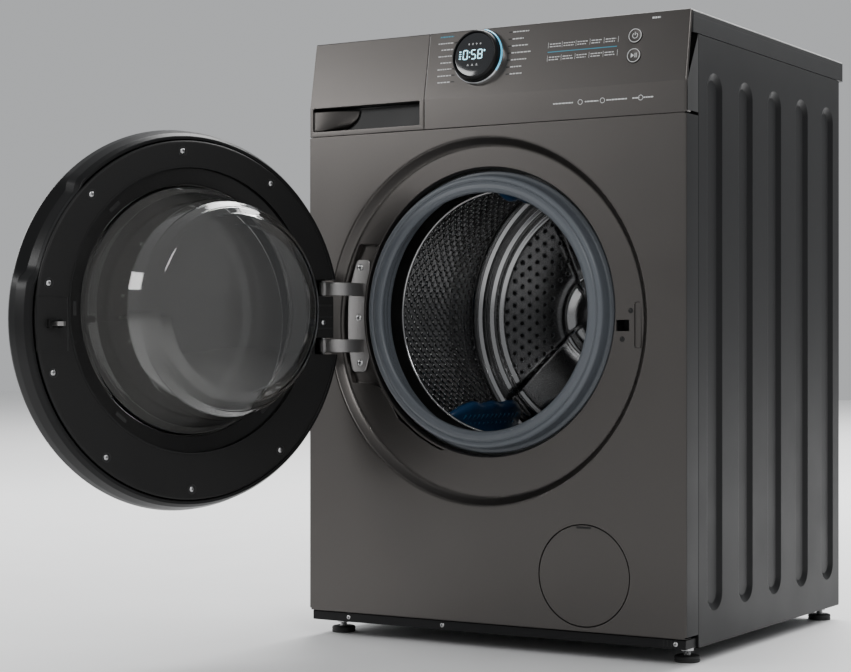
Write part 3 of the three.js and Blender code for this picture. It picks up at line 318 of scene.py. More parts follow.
def round_box(x0, x1, z0, z1, radius, steps=5):
    """A rectangle with rounded corners, running anticlockwise."""
    return soften([(x0, z0), (x1, z0), (x1, z1), (x0, z1)], radius, steps, closed=True)


def circle_2d(radius, x, z, segments=64):
    turn = 2 * PI / segments
    return [(x + radius * math.cos(i * turn), z + radius * math.sin(i * turn)) for i in range(segments)]


def arc_2d(radius, x, z, start, end, steps):
    out = []
    for i in range(steps + 1):
        angle = math.radians(start + (end - start) * i / steps)
        out.append((x + radius * math.cos(angle), z + radius * math.sin(angle)))
    return out


# Where a 2-D point and a depth behind the surface go, for each kind of face.
def on_front(y):
    return lambda p, d=0.0: (p[0], y + d, p[1])


def on_rear(y):
    return lambda p, d=0.0: (p[0], y - d, p[1])


def on_plan(p, z):
    return (p[0], p[1], z)


def on_lean(p, d=0.0):
    """p is x and the distance up the leaning face from the crease."""
    return (
        p[0],
        p[1] * math.sin(LEAN) + d * math.cos(LEAN),
        CREASE_Z + p[1] * math.cos(LEAN) - d * math.sin(LEAN),
    )


def up_lean(z):
    return (z - CREASE_Z) / math.cos(LEAN)


# ---------------------------------------------------------------- mesh building
class Form:
    """A mesh being built, in millimetres."""

    def __init__(self):
        self.bm = bmesh.new()

    def line(self, points):
        return [self.bm.verts.new(p) for p in points]

    def face(self, *corners):
        kept = list(dict.fromkeys(corners))
        if len(kept) > 2:
            self.bm.faces.new(kept)

    def bridge(self, first, second, closed=True):
        count = len(first)
        for i in range(count if closed else count - 1):
            j = (i + 1) % count
            self.face(first[i], first[j], second[j], second[i])

    def bands(self, lines, closed=True, loop=False):
        """Faces between each line and the next, and from the last to the first in a loop."""
        for first, second in zip(lines, lines[1:] + lines[:1] if loop else lines[1:]):
            self.bridge(first, second, closed)

    def cap(self, lines):
        """Closes both ends of a row of lines."""
        self.bm.faces.new(lines[0])
        self.bm.faces.new(lines[-1])

    def fold(self, radius, reach, ends, steps=4):
        """A rounded bend: ends gives its two end points from a distance out and a depth back."""
        bend = soften([(0, 0), (radius, 0, radius), (radius, reach)], radius, steps)
        self.bands([self.line(ends(out, back)) for out, back in bend], closed=False)

    def fill(self, *loops):
        edges = []
        for loop in loops:
            for i in range(len(loop)):
                pair = (loop[i - 1], loop[i])
                edges.append(self.bm.edges.get(pair) or self.bm.edges.new(pair))
        bmesh.ops.triangle_fill(self.bm, edges=edges, use_beauty=True)

    def press(self, outline, put, steps, floor=True):
        """A pressed hollow: the outline moved in and back by each (inset, depth). Returns its rim."""
        lines = [self.line([put(p, d) for p in inset(outline, i)]) for i, d in steps]
        self.bands(lines)
        if floor:
            self.fill(lines[-1])
        return lines[0]

    def turn(self, profile, x, z, segments=96, loop=False):
        """A surface of revolution about an axis along y. The profile holds (radius, y)."""
        lines = []
        for radius, y in profile:
            if radius < TINY:
                lines.append([self.bm.verts.new((x, y, z))] * segments)
            else:
                lines.append(self.line((a, y, b) for a, b in circle_2d(radius, x, z, segments)))
        self.bands(lines, loop=loop)
        return lines

    def prism(self, outline, put, start, end):
        """A closed solid: an outline taken from one depth to another."""
        first = self.line([put(p, start) for p in outline])
        second = self.line([put(p, end) for p in outline])
        self.bridge(first, second)
        self.cap([first, second])

    def block(self, x0, x1, y0, y1, z0, z1):
        self.prism([(x0, z0), (x1, z0), (x1, z1), (x0, z1)], on_front(0), y0, y1)

    def upright(self, profile, x, y, sides, loop=False):
        """A surface of revolution about an upright axis. The profile holds (radius, z)."""
        lines = [self.line((a, b, z) for a, b in circle_2d(radius, x, y, sides)) for radius, z in profile]
        self.bands(lines, loop=loop)
        if not loop:
            self.cap(lines)

    def sweep(self, path, radius, sides):
        """A round bar along a line of points."""
        points = [Vector(p) for p in path]
        lines = []
        up = Vector((0, 0, 1))
        for i, point in enumerate(points):
            along = points[min(i + 1, len(points) - 1)] - points[max(i - 1, 0)]
            along.normalize()
            side = along.cross(up)
            if side.length < 0.05:
                side = along.cross(Vector((0, 1, 0)))
            side.normalize()
            top = side.cross(along)
            lines.append(self.line(point + side * a + top * b for a, b in circle_2d(radius, 0, 0, sides)))
        self.bands(lines)
        self.cap(lines)


def place(point, door):
    """A point in machine millimetres as metres in the row frame, turned open if it is on the door."""
    spot = Vector(point)
    if door:
        spot = hinge + Matrix.Rotation(-DOOR_OPEN, 3, "Z") @ (spot - hinge)
    return Vector((MID_X + spot.x * MM, FACE_Y + spot.y * MM, spot.z * MM))


def face_out(bm, towards):
    """Turns an open shell so that most of it faces a direction, or a closed one outwards."""
    bmesh.ops.recalc_face_normals(bm, faces=bm.faces)
    if towards is None:
        return
    total = Vector()
    for face in bm.faces:
        total += face.normal * face.calc_area()
    if total.dot(Vector(towards)) < 0:
        bmesh.ops.reverse_faces(bm, faces=bm.faces)


def piece(form, name, body, slot, material, replaces=(), bevel=0.0, wall=0.0, door=False,
          towards=None, smooth=SMOOTH_DEGREES, steps=2, weld=0.002, extra=()):
    """Turns a form into an object that rides on a body. wall thickens an open sheet backwards."""
    bm = form.bm
    bmesh.ops.remove_doubles(bm, verts=bm.verts, dist=weld)
    face_out(bm, towards)
    for vert in bm.verts:
        vert.co = place(vert.co, door)
    mesh = bpy.data.meshes.new(name)
    bm.to_mesh(mesh)
    bm.free()
    mesh.shade_smooth()
    mesh.set_sharp_from_angle(angle=math.radians(smooth))
    thing = bpy.data.objects.new(name, mesh)
    bpy.context.scene.collection.objects.link(thing)
    mesh.materials.append(material)
    for other in extra:
        mesh.materials.append(other)
    if wall:
        shell = thing.modifiers.new("wall", "SOLIDIFY")
        shell.thickness = wall * MM
        shell.offset = -1
    if bevel:
        edge = thing.modifiers.new("edge", "BEVEL")
        edge.width = bevel * MM
        edge.segments = steps
        edge.limit_method = "ANGLE"
        edge.angle_limit = BEVEL_ANGLE
        edge.use_clamp_overlap = True
    weighted = thing.modifiers.new("normals", "WEIGHTED_NORMAL")
    weighted.keep_sharp = True
    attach(thing, body)
    if replaces:
        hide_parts(*replaces)
    return thing


def carve(thing, *forms):
    """Cuts forms out of an object before its edges are bevelled."""
    for form in forms:
        bmesh.ops.recalc_face_normals(form.bm, faces=form.bm.faces)
        for vert in form.bm.verts:
            vert.co = place(vert.co, False)
        mesh = bpy.data.meshes.new("tool")
        form.bm.to_mesh(mesh)
        form.bm.free()
        tool = bpy.data.objects.new("tool", mesh)
        bpy.context.scene.collection.objects.link(tool)
        others = [(m.name, m.show_viewport) for m in thing.modifiers]
        for modifier in thing.modifiers:
            modifier.show_viewport = False
        cutter = thing.modifiers.new("cut", "BOOLEAN")
        cutter.operation = "DIFFERENCE"
        cutter.solver = "EXACT"
        cutter.object = tool
        graph = bpy.context.evaluated_depsgraph_get()
        cut_mesh = bpy.data.meshes.new_from_object(thing.evaluated_get(graph))
        thing.modifiers.remove(cutter)
        thing.data = cut_mesh
        cut_mesh.shade_smooth()
        cut_mesh.set_sharp_from_angle(angle=math.radians(SMOOTH_DEGREES))
        for name, shown in others:
            thing.modifiers[name].show_viewport = shown
        bpy.data.objects.remove(tool)
    return thing


# ---------------------------------------------------------------- small parts used often
def screw_head(form, x, y, z, radius=4.0, height=2.2, facing=-1):
    """A pan head with a cross recess, facing along -y, or +y when facing is 1."""
    profile = [(0, 0), (radius * 0.55, 0.1), (radius * 0.86, height * 0.35), (radius, height * 0.8)]
    profile += [(radius, height * 1.4), (0, height * 1.4)]
    points = [(r, y + facing * (height - d)) for r, d in profile]
    form.turn(points, x, z, 20)


def screw_cross(form, x, y, z, radius=4.0, height=2.2, facing=-1):
    """A dark cross standing just proud of a screw head: painted shade for its cross recess."""
    proud, depth = 0.08, 0.5
    top = y + facing * (height + proud)
    near, far = sorted((top, top - facing * depth))
    arm = radius * 0.52
    thin = radius * 0.11
    for half_x, half_z in ((arm, thin), (thin, arm)):
        form.block(x - half_x, x + half_x, near, far, z - half_z, z + half_z)


def screws(name, spots, body, door=False, radius=4.0, height=2.2, facing=-1, material=SCREW_STEEL):
    """One object for a set of screws, and one for the painted shade of their cross recesses."""
    heads = Form()
    slots = Form()
    for x, y, z in spots:
        screw_head(heads, x, y, z, radius, height, facing)
        screw_cross(slots, x, y, z, radius, height, facing)
    piece(heads, name, body, "steel", material, door=door, weld=0.0001)
    piece(slots, name + "_recess", body, "black_plastic", BLACK_AND_SHADE, door=door, weld=0.0001)


# ---------------------------------------------------------------- front panel
def front_panel():
    form = Form()
    soft = 3.0
    side = HALF - soft
    # the face, with the openings of the door recess and the hatch
    low, high = PANEL_LOW + soft, PANEL_TOP - 1
    corner = [(-side, low), (side, low), (side, high), (-side, high)]
    face = form.line([on_front(0)(p) for p in corner])
    dish = [
        (RECESS_R + 5.0, 0),
        (RECESS_R + 4.0, 0),
        (RECESS_R + 2.6, 0.15),
        (RECESS_R + 1.6, 0.7),
        (RECESS_R + 0.8, 1.8),
        (RECESS_R - 1.2, 5),
        (RECESS_R - 4.5, 9.2),
        (RECESS_R - 6.2, 11.2),
        (RECESS_R - 7.6, 12.3),
        (RECESS_R - 9.4, FLOOR_Y),
        (RECESS_R - 10.4, FLOOR_Y),
    ]
    rings = form.turn(dish, DOOR_X, RECESS_Z, ROUND)
    hatch_rings = form.turn(
        [(HATCH_R + 2.0, 0), (HATCH_R + 1.2, 0), (HATCH_R + 0.5, 0.15), (HATCH_R + 0.1, 0.7), (HATCH_R, 4)],
        HATCH_X, HATCH_Z, 96,
    )
    form.fill(face, rings[0], hatch_rings[0])
    # folded edges: sides, top and bottom
    for sign in (-1, 1):
        form.fold(soft, RETURN_Y, lambda out, y: [(sign * (side + out), y, z) for z in (low, high)], 5)
    for z, sign, radius in ((low, -1, soft), (high, 1, 1.0)):
        form.fold(radius, 20, lambda out, y: [(x, y, z + sign * out) for x in (-side, side)])
    # the recess floor with its openings
    floor = on_front(FLOOR_Y)
    collar = form.turn(
        [(PORT_R + 3.6, FLOOR_Y), (PORT_R + 3.2, FLOOR_Y), (PORT_R + 2.7, FLOOR_Y + 0.3),
         (PORT_R + 1.9, FLOOR_Y + 1.2), (PORT_R + 0.9, FLOOR_Y + 3.2), (PORT_R + 0.2, FLOOR_Y + 6.4),
         (PORT_R, FLOOR_Y + 11)],
        DOOR_X, PORT_Z, ROUND,
    )
    deep = POCKET_Y - FLOOR_Y
    pocket = form.press(
        pocket_outline(), floor,
        [(-0.5, 0), (0, 0), (0.5, 0.15), (0.9, 0.7), (1.1, deep - 0.8), (1.4, deep - 0.2), (2.0, deep),
         (2.6, deep)],
    )
    slot = form.press(
        round_box(LOCK_X - 9.5, LOCK_X + 9.5, LOCK_Z - 7.5, LOCK_Z + 7.5, 1.2, 3), floor,
        [(-0.4, 0), (0, 0), (0.3, 0.4), (0.3, 3)], floor=False,
    )
    tab = form.press(
        round_box(LOCK_X + 17, LOCK_X + 27, LOCK_Z - 30, LOCK_Z + 31, 3.5, 4), floor,
        [(-0.6, 0), (0, 0), (0.3, 0.5), (0.6, 1.6), (1.2, 2.0), (1.8, 2.0)],
    )
    form.fill(rings[-1], collar[0], pocket, slot, tab)
    thing = piece(form, "front_panel_skin", "cabinet", "titanium", TITANIUM, ["front_panel"],
                  wall=SHEET, towards=(0, -1, 0), extra=[SIDE_PAINT])
    # the faces on the folded side returns take the second material, the cabinet's black paint
    for polygon in thing.data.polygons:
        centre = machine_mm(polygon.center)
        if abs(centre.x) > HALF - 0.2:
            polygon.material_index = 1


def pocket_outline():
    """The sunk area that holds the hinge bracket, with its tail along the lower left of the porthole."""
    outer = RECESS_R - 12
    inner = PORT_R + 4.8
    low, high = 362, 560
    start = math.degrees(math.asin((high - RECESS_Z) / outer))
    end = math.degrees(math.asin((low - RECESS_Z) / outer))
    left = arc_2d(outer, DOOR_X, RECESS_Z, 180 - start, 180 - end, 18)
    tail = [(-200, 361), (-184, 355.5), (-163.5, 328), (-154.5, 312), (-122, 288.5), (-96, 274.5),
            (-84, 270)]
    top = 180 - math.degrees(math.asin((high - PORT_Z) / inner))
    last = math.degrees(math.atan2(268 - PORT_Z, -75 - DOOR_X)) + 360
    right = arc_2d(inner, DOOR_X, PORT_Z, last, top, 60)
    line = [(*p, 0) for p in left] + [(*p, 6) for p in tail] + [(*p, 0) for p in right]
    return soften(line, 0, 4, True)


def hatch():
    form = Form()
    edge = HATCH_R - 0.7
    form.turn(
        [(0, 0.2), (edge - 1.6, 0.2), (edge - 0.5, 0.45), (edge, 1.1), (edge, 2.7), (0, 2.7)],
        HATCH_X, HATCH_Z, 96,
    )
    form.block(HATCH_X + edge - 16, HATCH_X + edge - 12, 2.4, 8, HATCH_Z - 8, HATCH_Z + 8)
    piece(form, "service_hatch_door", "hatch", "titanium", TITANIUM, ["service_hatch"])
    # a thin dark patch on the hatch face, painted shade for the finger notch
    finger = Form()
    finger.prism(round_box(HATCH_X - 11, HATCH_X + 11, HATCH_Z + edge - 5, HATCH_Z + edge - 2, 1.2, 3),
                 on_front(0), 0.05, 0.5)
    piece(finger, "hatch_finger_notch", "hatch", "black_plastic", BLACK_AND_SHADE)


# ---------------------------------------------------------------- fascia and drawer front
def fascia_profile():
    """The skin's line in (y, z), from the lower return up the face to the top return."""
    line = [(13, FASCIA_LOW), (0, FASCIA_LOW, 1.0), (0, CREASE_Z, 0.6), (SETBACK, HEIGHT, 1.6),
            (SETBACK + 3, HEIGHT)]
    return soften(line, 1.0, 3)


def skin(form, x0, x1, holes, lower_holes, round_left, round_right):
    """The fascia's skin between two x positions, with holes in its leaning and lower faces."""
    line = fascia_profile()
    lean_start = max(i for i, p in enumerate(line) if p[1] < CREASE_Z + 2)
    lean_end = min(i for i, p in enumerate(line) if p[1] > HEIGHT - 4)
    low_start = max(i for i, p in enumerate(line) if p[1] < FASCIA_LOW + 2)
    low_end = min(i for i, p in enumerate(line) if p[1] > CREASE_Z - 2)
    stations = []
    for radius, end, sign in ((round_left, x0, 1), (round_right, x1, -1)):
        stations.append([(end + sign * radius * (1 - math.sin(a)), radius * (1 - math.cos(a)))
                         for a in (PI / 2, PI / 3, PI / 6, 0)])
    drawn = []
    for x, back in sorted(stations[0] + stations[1]):
        moved = inset(line, -back, closed=False) if back else line
        drawn.append(form.line([(x, y, z) for y, z in moved]))
    middle = len(stations[0]) - 1
    for i, (first, second) in enumerate(zip(drawn, drawn[1:])):
        for k in range(len(line) - 1):
            if i == middle and k in (lean_start, low_start):
                continue
            form.face(first[k], second[k], second[k + 1], first[k + 1])
    left, right = drawn[middle], drawn[middle + 1]
    form.fill([left[lean_start], right[lean_start], right[lean_end], left[lean_end]], *holes)
    form.fill([left[low_start], right[low_start], right[low_end], left[low_end]], *lower_holes)
    return drawn


def lean_hole(form, radius, x, z, deep=5):
    return form.press(circle_2d(radius + 0.6, x, up_lean(z), 72), on_lean,
                      [(0, 0), (0.35, 0.12), (0.6, 0.6), (0.6, deep)], floor=False)


def control_fascia():
    form = Form()
    x0 = SPLIT_X + 0.3
    holes = [lean_hole(form, 37, dial_place.x, dial_place.z)]
    for z in BUTTON_Z.values():
        holes.append(lean_hole(form, 10.3, BUTTON_X, z))
    drawn = skin(form, x0, HALF, holes, [], 0.8, 3.0)
    # the cheek at the right end
    back = form.line([(HALF, RETURN_Y, LID_Z - 0.6), (HALF, RETURN_Y, FASCIA_LOW + 3)])
    keep = [v for v in drawn[-1] if v.co.z < LID_Z + 12]
    form.bm.faces.new([*keep, *back])
    thing = piece(form, "fascia_skin", "cabinet", "titanium", TITANIUM, ["control_fascia"],
                  wall=SHEET, towards=(0, -1, 0), extra=[SATIN_BLACK])
    for polygon in thing.data.polygons:
        if machine_mm(polygon.center).x > HALF - 0.1:
            polygon.material_index = 1
    # the inner plate that the drawer slides through, and the fascia's lower ledge
    inner = Form()
    plate_y = 24
    low, high = FASCIA_LOW, LID_Z - 0.6
    corners = [(-HALF + 1, low), (SPLIT_X, low), (SPLIT_X, high), (-HALF + 1, high)]
    outer_line = inner.line([on_front(plate_y)(p) for p in corners])
    hole = inner.press(round_box(-287, -109, 725, 802, 4, 3), on_front(plate_y), [(0, 0), (0.2, 2.5)],
                       floor=False)
    inner.fill(outer_line, hole)
    piece(inner, "drawer_bulkhead", "cabinet", "black_plastic", SATIN_BLACK, wall=2.0, towards=(0, -1, 0))
    ledge = Form()
    ledge.block(-HALF + 0.3, SPLIT_X - 0.2, plate_y, RETURN_Y, low, low + 3)
    ledge.block(-HALF + 0.05, -HALF + 3, 15, RETURN_Y, low + 3.2, high)
    piece(ledge, "fascia_left_cheek", "cabinet", "black_plastic", SATIN_BLACK, bevel=0.5)


def drawer_front():
    form = Form()
    x0, x1, z0, z1 = PULL
    outline = soften([(x0, z0, 2.5), (x1, z0, 1.5), (x1, z1, 1.5), (x0, z1, 2.5)], 1.5, 4, closed=True)
    hole = form.press(
        outline, on_front(0),
        [(-0.8, 0), (-0.35, 0.12), (0, 0.6), (0.5, PULL_DEPTH - 2), (1.2, PULL_DEPTH - 0.6),
         (2.6, PULL_DEPTH)],
    )
    skin(form, -HALF, SPLIT_X - 0.3, [], [hole], 2.2, 0.8)
    thing = piece(form, "drawer_front_skin", "drawer", "titanium", TITANIUM, ["drawer_front"],
                  wall=SHEET, towards=(0, -1, 0), extra=[BLACK_AND_SHADE])
    for polygon in thing.data.polygons:
        centre = machine_mm(polygon.center)
        if centre.y > 0.4 and x0 - 1 < centre.x < x1 + 1 and z0 - 1 < centre.z < z1 + 1:
            polygon.material_index = 1
    # the scoop at the left of the hand pocket: a concave ramp whose right edge is a quarter ellipse
    scoop = Form()
    rows, columns = 16, 18
    low, high = z0 + 0.8, z1 - 4.5
    lines = []
    for i in range(rows + 1):
        rise = i / rows
        z = low + (high - low) * rise
        end = x0 + 31 + 38 * math.sqrt(max(1 - (1 - rise) ** 2, 0))
        across = [k / columns for k in range(columns + 1)]
        lines.append(scoop.line((x0 + 0.8 + (end - x0) * t, 0.9 + (PULL_DEPTH - 3.5) * t ** 2.2, z)
                                for t in across))
    scoop.bands(lines, closed=False)
    piece(scoop, "drawer_pull_scoop", "drawer", "titanium", TITANIUM, wall=1.5, towards=(0, -1, 0))


# ---------------------------------------------------------------- dial and buttons
def lean_turn(form, profile, x, z, segments=96):
    """A surface of revolution square to the leaning face; the profile holds (radius, depth)."""
    lines = []
    for radius, depth in profile:
        if radius < TINY:
            lines.append([form.bm.verts.new(on_lean((x, up_lean(z)), depth))] * segments)
        else:
            lines.append(form.line([on_lean(p, depth) for p in circle_2d(radius, x, up_lean(z), segments)]))
    form.bands(lines)
    return lines


def lean_bars(form, bars, proud, thick=0.12):
    """Thin raised bars on the leaning face: (x0, x1, z0, z1) with z measured on the face."""
    for x0, x1, z0, z1 in bars:
        form.prism([(x0, up_lean(z0)), (x1, up_lean(z0)), (x1, up_lean(z1)), (x0, up_lean(z1))],
                   on_lean, -proud - thick, -proud)


def dial():
    x, z = dial_place.x, dial_place.z
    ring = Form()
    lean_turn(ring, [(36.6, -0.3), (36.6, -7.2), (37.2, -7.9), (38.2, -7.6), (39.2, -5.6), (39.5, -3.5),
                     (39.5, -0.3), (36.6, -0.3)], x, z, 120)
    piece(ring, "dial_bright_ring", "cabinet", "chrome", CHROME, ["dial_trim_ring"])
    glow = Form()
    rise = up_lean(z)
    start, end = -35, 78
    outer = glow.line([on_lean(p, -6.4) for p in arc_2d(39.0, x, rise, start, end, 40)])
    inner = glow.line([on_lean(p, -8.2) for p in arc_2d(37.7, x, rise, start, end, 40)])
    glow.bridge(outer, inner, closed=False)
    piece(glow, "dial_light_arc", "cabinet", "chrome", CYAN_LIGHT, wall=0.2, towards=(0, -1, 0))
    knob = Form()
    lean_turn(
        knob,
        [(31.8, -14.5), (31.9, -16.6), (32.3, -17.3), (33.2, -17.5), (34.0, -17.1), (35.3, -14.8),
         (35.8, -13.2), (36.0, -11.5), (36.0, 2.5), (31.8, 2.5), (31.8, -14.5)],
        x, z, 120,
    )
    piece(knob, "dial_knob_body", "dial", "gloss_black", GLOSS_BLACK, ["dial_knob"])
    grips = Form()
    size = 0.32
    for a, b in circle_2d(35.85, x, rise, 90):
        grips.prism([(a - size, b - size), (a + size, b - size), (a + size, b + size), (a - size, b + size)],
                    on_lean, -11, -8.6)
    piece(grips, "dial_knob_grip", "dial", "gloss_black", MATT_BLACK)
    glass = Form()
    lean_turn(glass, [(0, -16.3), (20, -16.2), (29.5, -15.9), (31.0, -15.5), (31.4, -15.0), (31.4, 3.5),
                      (10, 3.5), (10, 21), (0, 21)], x, z, 96)
    piece(glass, "dial_display_glass", "cabinet", "gloss_black", DISPLAY_GLASS, ["dial_display"])
    display_digits(x, z)


def digit_bars(lit, left, base, width, height, pen):
    """The lit bars of one seven-segment figure, named a to g as usual."""
    half = height / 2
    spots = {
        "a": (left + pen, left + width - pen, base + height - pen, base + height),
        "d": (left + pen, left + width - pen, base, base + pen),
        "g": (left + pen, left + width - pen, base + half - pen / 2, base + half + pen / 2),
        "f": (left, left + pen, base + half + pen * 0.4, base + height - pen * 0.6),
        "e": (left, left + pen, base + pen * 0.6, base + half - pen * 0.4),
        "b": (left + width - pen, left + width, base + half + pen * 0.4, base + height - pen * 0.6),
        "c": (left + width - pen, left + width, base + pen * 0.6, base + half - pen * 0.4),
    }
    return [spots[s] for s in lit]


def display_digits(x, z):
    form = Form()
    height, width, pen = 13.5, 7.6, 1.25
    bars = []
    for lit, offset in (("abcdef", -17.5), ("afgcd", -4.6), ("abcdefg", 5.6)):
        bars += digit_bars(lit, x + offset, z - height / 2, width, height, pen)
    bars += [(x - 7.7, x - 6.3, z + dz - 0.7, z + dz + 0.7) for dz in (-3.2, 3.2)]
    bars.append((x + 15.2, x + 17.2, z + 3.4, z + 5.8))
    bars += [(x - 23.5, x - 20.5, z - 5.6 + 3.2 * i, z - 4.4 + 3.2 * i) for i in range(4)]
    lean_bars(form, bars, DISPLAY_PROUD)
    piece(form, "display_digits", "cabinet", "gloss_black", DIGIT_LIGHT)
    icons = Form()
    bars = []
    for centre in (x - 9 + 6 * i for i in range(4)):
        bars.append((centre - 1.2, centre + 1.2, z + 14.3, z + 15.1))
        bars.append((centre - 0.4, centre + 0.4, z + 13.2, z + 16.0))
    for centre in (x - 8.5 + 7 * i for i in range(3)):
        bars.append((centre - 1.6, centre + 1.6, z - 15.6, z - 15.0))
        bars.append((centre - 0.7, centre + 0.7, z - 14.6, z - 13.2))
    lean_bars(icons, bars, DISPLAY_PROUD)
    piece(icons, "display_icons", "cabinet", "gloss_black", PRINT_WHITE)


def ring_shape(form, x, z, outer, inner, proud, start=0.0, end=360.0, steps=48):
    rise = up_lean(z)
    full = abs(end - start - 360) < TINY
    count = steps if full else steps + 1
    loops = []
    for radius, depth in ((outer, -proud), (outer, -proud - 0.12), (inner, -proud - 0.12), (inner, -proud)):
        points = arc_2d(radius, x, rise, start, end, steps)[:count]
        loops.append(form.line([on_lean(p, depth) for p in points]))
    form.bands(loops, closed=full, loop=True)
    if not full:
        for k in (0, -1):
            form.bm.faces.new([loop[k] for loop in loops])


def buttons():
    for name, z in BUTTON_Z.items():
        body = "power" if name == "power_button" else "start"
        form = Form()
        lean_turn(form, [(0, -0.9), (7.6, -0.95), (8.4, -1.2), (9.3, -1.2), (9.9, -0.8), (10.0, -0.2),
                         (10.0, 4.5), (0, 4.5)], BUTTON_X, z, 72)
        piece(form, name + "_cap", body, "titanium", TITANIUM, [name])
        mark = Form()
        ring_shape(mark, BUTTON_X, z, 9.3, 8.5, 1.2)
        if name == "power_button":
            ring_shape(mark, BUTTON_X, z, 4.0, 3.2, MARK_PROUD, 120, 420, 36)
            lean_bars(mark, [(BUTTON_X - 0.4, BUTTON_X + 0.4, z + 0.4, z + 4.8)], MARK_PROUD)
        else:
            rise = up_lean(z)
            mark.prism([(BUTTON_X - 4, rise - 3.2), (BUTTON_X + 0.4, rise), (BUTTON_X - 4, rise + 3.2)],
                       on_lean, -MARK_PROUD - 0.12, -MARK_PROUD)
            for dx in (1.5, 3.5):
                lean_bars(mark, [(BUTTON_X + dx, BUTTON_X + dx + 0.9, z - 3.0, z + 3.0)], MARK_PROUD)
        piece(mark, name + "_mark", body, "titanium", PRINT_WHITE)


def dashes(x0, x1, z, height, gap=1.1):
    """A row of short plain bars that stands where a label would be."""
    out = []
    x = x0
    while x < x1:
        width = random.uniform(2.2, 5.0)
        out.append((x, min(x + width, x1), z - height / 2, z + height / 2))
        x += width + gap
    return out


def fascia_marks():
    white = []
    cyan = []
    dark = []
    for i in range(8):
        z = 843 - 9.2 * i
        reach = 26 + random.uniform(-9, 6)
        target = cyan if i == 0 else white
        target.extend(dashes(-62 - reach, -62, z, 1.5))
        if i:
            dark.append((-60.5, -55.5, z - 0.8, z + 0.8))
    for i in range(7):
        z = 841 - 9.7 * i
        dark.append((26, 31, z - 0.8, z + 0.8))
        white.extend(dashes(32.5, 32.5 + 30 + random.uniform(-14, 16), z, 1.5))
    cyan.append((89, 193, 807.6, 808.6))
    for z in (819, 815.5, 801, 797.5):
        for i in range(5):
            left = 90 + 21 * i
            white.extend(dashes(left + 1.5, left + random.uniform(14, 18.5), z, 1.2))
    for i in range(6):
        left = 89 + 21 * i
        white.append((left, left + 0.4, 813.5, 821.5))
        white.append((left, left + 0.4, 795.5, 803.5))
    white.extend(dashes(242, 254, 842, 2.4, 0.8))
    for name, bars, material in (
        ("fascia_marks_white", white, PRINT_WHITE),
        ("fascia_marks_cyan", cyan, PRINT_CYAN),
        ("fascia_indicator_lamps", dark, BLACK_AND_SHADE),
    ):
        form = Form()
        lean_bars(form, bars, 0.02, 0.08)
        piece(form, name, "cabinet", "titanium", material)
    low = Form()
    spots = []
    for left, right in ((102, 132), (150, 170), (182, 212), (220, 230), (236, 250)):
        spots.extend(dashes(left, right, 737, 1.6, 0.7))
    for x0, x1, z0, z1 in spots:
        low.block(x0, x1, -0.1, -0.02, z0, z1)
    for x in (143, 176, 232):
        low.turn([(3.6, -0.1), (2.9, -0.1)], x, 737, 28)
    piece(low, "fascia_feature_marks", "cabinet", "titanium", PRINT_WHITE)
    seam = Form()
    lean_bars(seam, [(SPLIT_X + 0.9, SPLIT_X + 1.5, CREASE_Z + 1.5, HEIGHT - 4)], 0.0, 0.05)
    piece(seam, "fascia_seam_line", "cabinet", "titanium", PRINT_GREY)


# ---------------------------------------------------------------- cabinet shell
def side_panel(side, name):
    form = Form()
    soft = 1.8
    front, back = RETURN_Y + 0.6 + soft, REAR_Y - soft
    low, high = 21.3 + soft, LID_Z - 0.7

    def put(p, d=0.0):
        return (side * (HALF - d), p[0], p[1])

    holes = []
    half = 25
    steps = [(0, 0), (0.8, 0.1), (1.8, 0.5), (8.8, 4.3), (9.8, 4.75), (11.0, 4.9)]
    for i in range(5):
        y = 88 + 102.5 * i
        outline = round_box(y - half, y + half, 64, 775, half - 0.01, 14)
        holes.append(form.press(outline, put, steps))
    edge = form.line([put(p) for p in [(front, low), (back, low), (back, high), (front, high)]])
    form.fill(edge, *holes)
    for y, sign in ((front, -1), (back, 1)):
        form.fold(soft, 14, lambda out, d: [put((y + sign * out, z), d) for z in (low, high)])
    form.fold(soft, 16, lambda out, d: [put((y, low - out), d) for y in (front, back)])
    piece(form, name + "_skin", "cabinet", "black_paint", SIDE_PAINT, [name], wall=SHEET,
          towards=(side, 0, 0))


def top_cover():
    form = Form()
    front = SETBACK + 3.3
    corners = [(-HALF, front, 2), (HALF, front, 2), (HALF, BACK_Y, 5), (-HALF, BACK_Y, 5)]
    outline = soften(corners, 3, 5, closed=True)
    rise = soften([(0, LID_Z + 0.2), (0, HEIGHT, 3.2), (8, HEIGHT)], 3.2, 5)

    lines = []
    for distance, z in rise:
        lines.append(form.line([on_plan(p, z) for p in inset(outline, distance)]))
    form.bands(lines)
    form.fill(lines[-1])
    under = form.line([on_plan(p, LID_Z + 0.2) for p in inset(outline, 2.4)])
    up = form.line([on_plan(p, HEIGHT - 4) for p in inset(outline, 2.4)])
    form.bridge(lines[0], under)
    form.bridge(under, up)
    form.fill(up)
    piece(form, "top_cover_panel", "cabinet", "black_paint", TOP_PAINT, ["top_cover"])
    # the joint between the worktop and its frame
    line = Form()
    line.bands([line.line([on_plan(p, HEIGHT - drop) for p in inset(outline, distance)])
                for distance, drop in ((-0.03, 8.4), (-0.03, 8.9), (0.4, 8.9), (0.4, 8.4))], loop=True)
    piece(line, "top_cover_joint", "cabinet", "black_plastic", BLACK_AND_SHADE)
    # the fascia's top edge strip that closes the gap behind the fascia
    strip = Form()
    strip.block(-HALF + 1.5, HALF - 1.5, SETBACK + 0.6, SETBACK + 4, HEIGHT - 5, HEIGHT - 0.8)
    piece(strip, "top_front_strip", "cabinet", "black_plastic", MATT_BLACK, bevel=0.4)


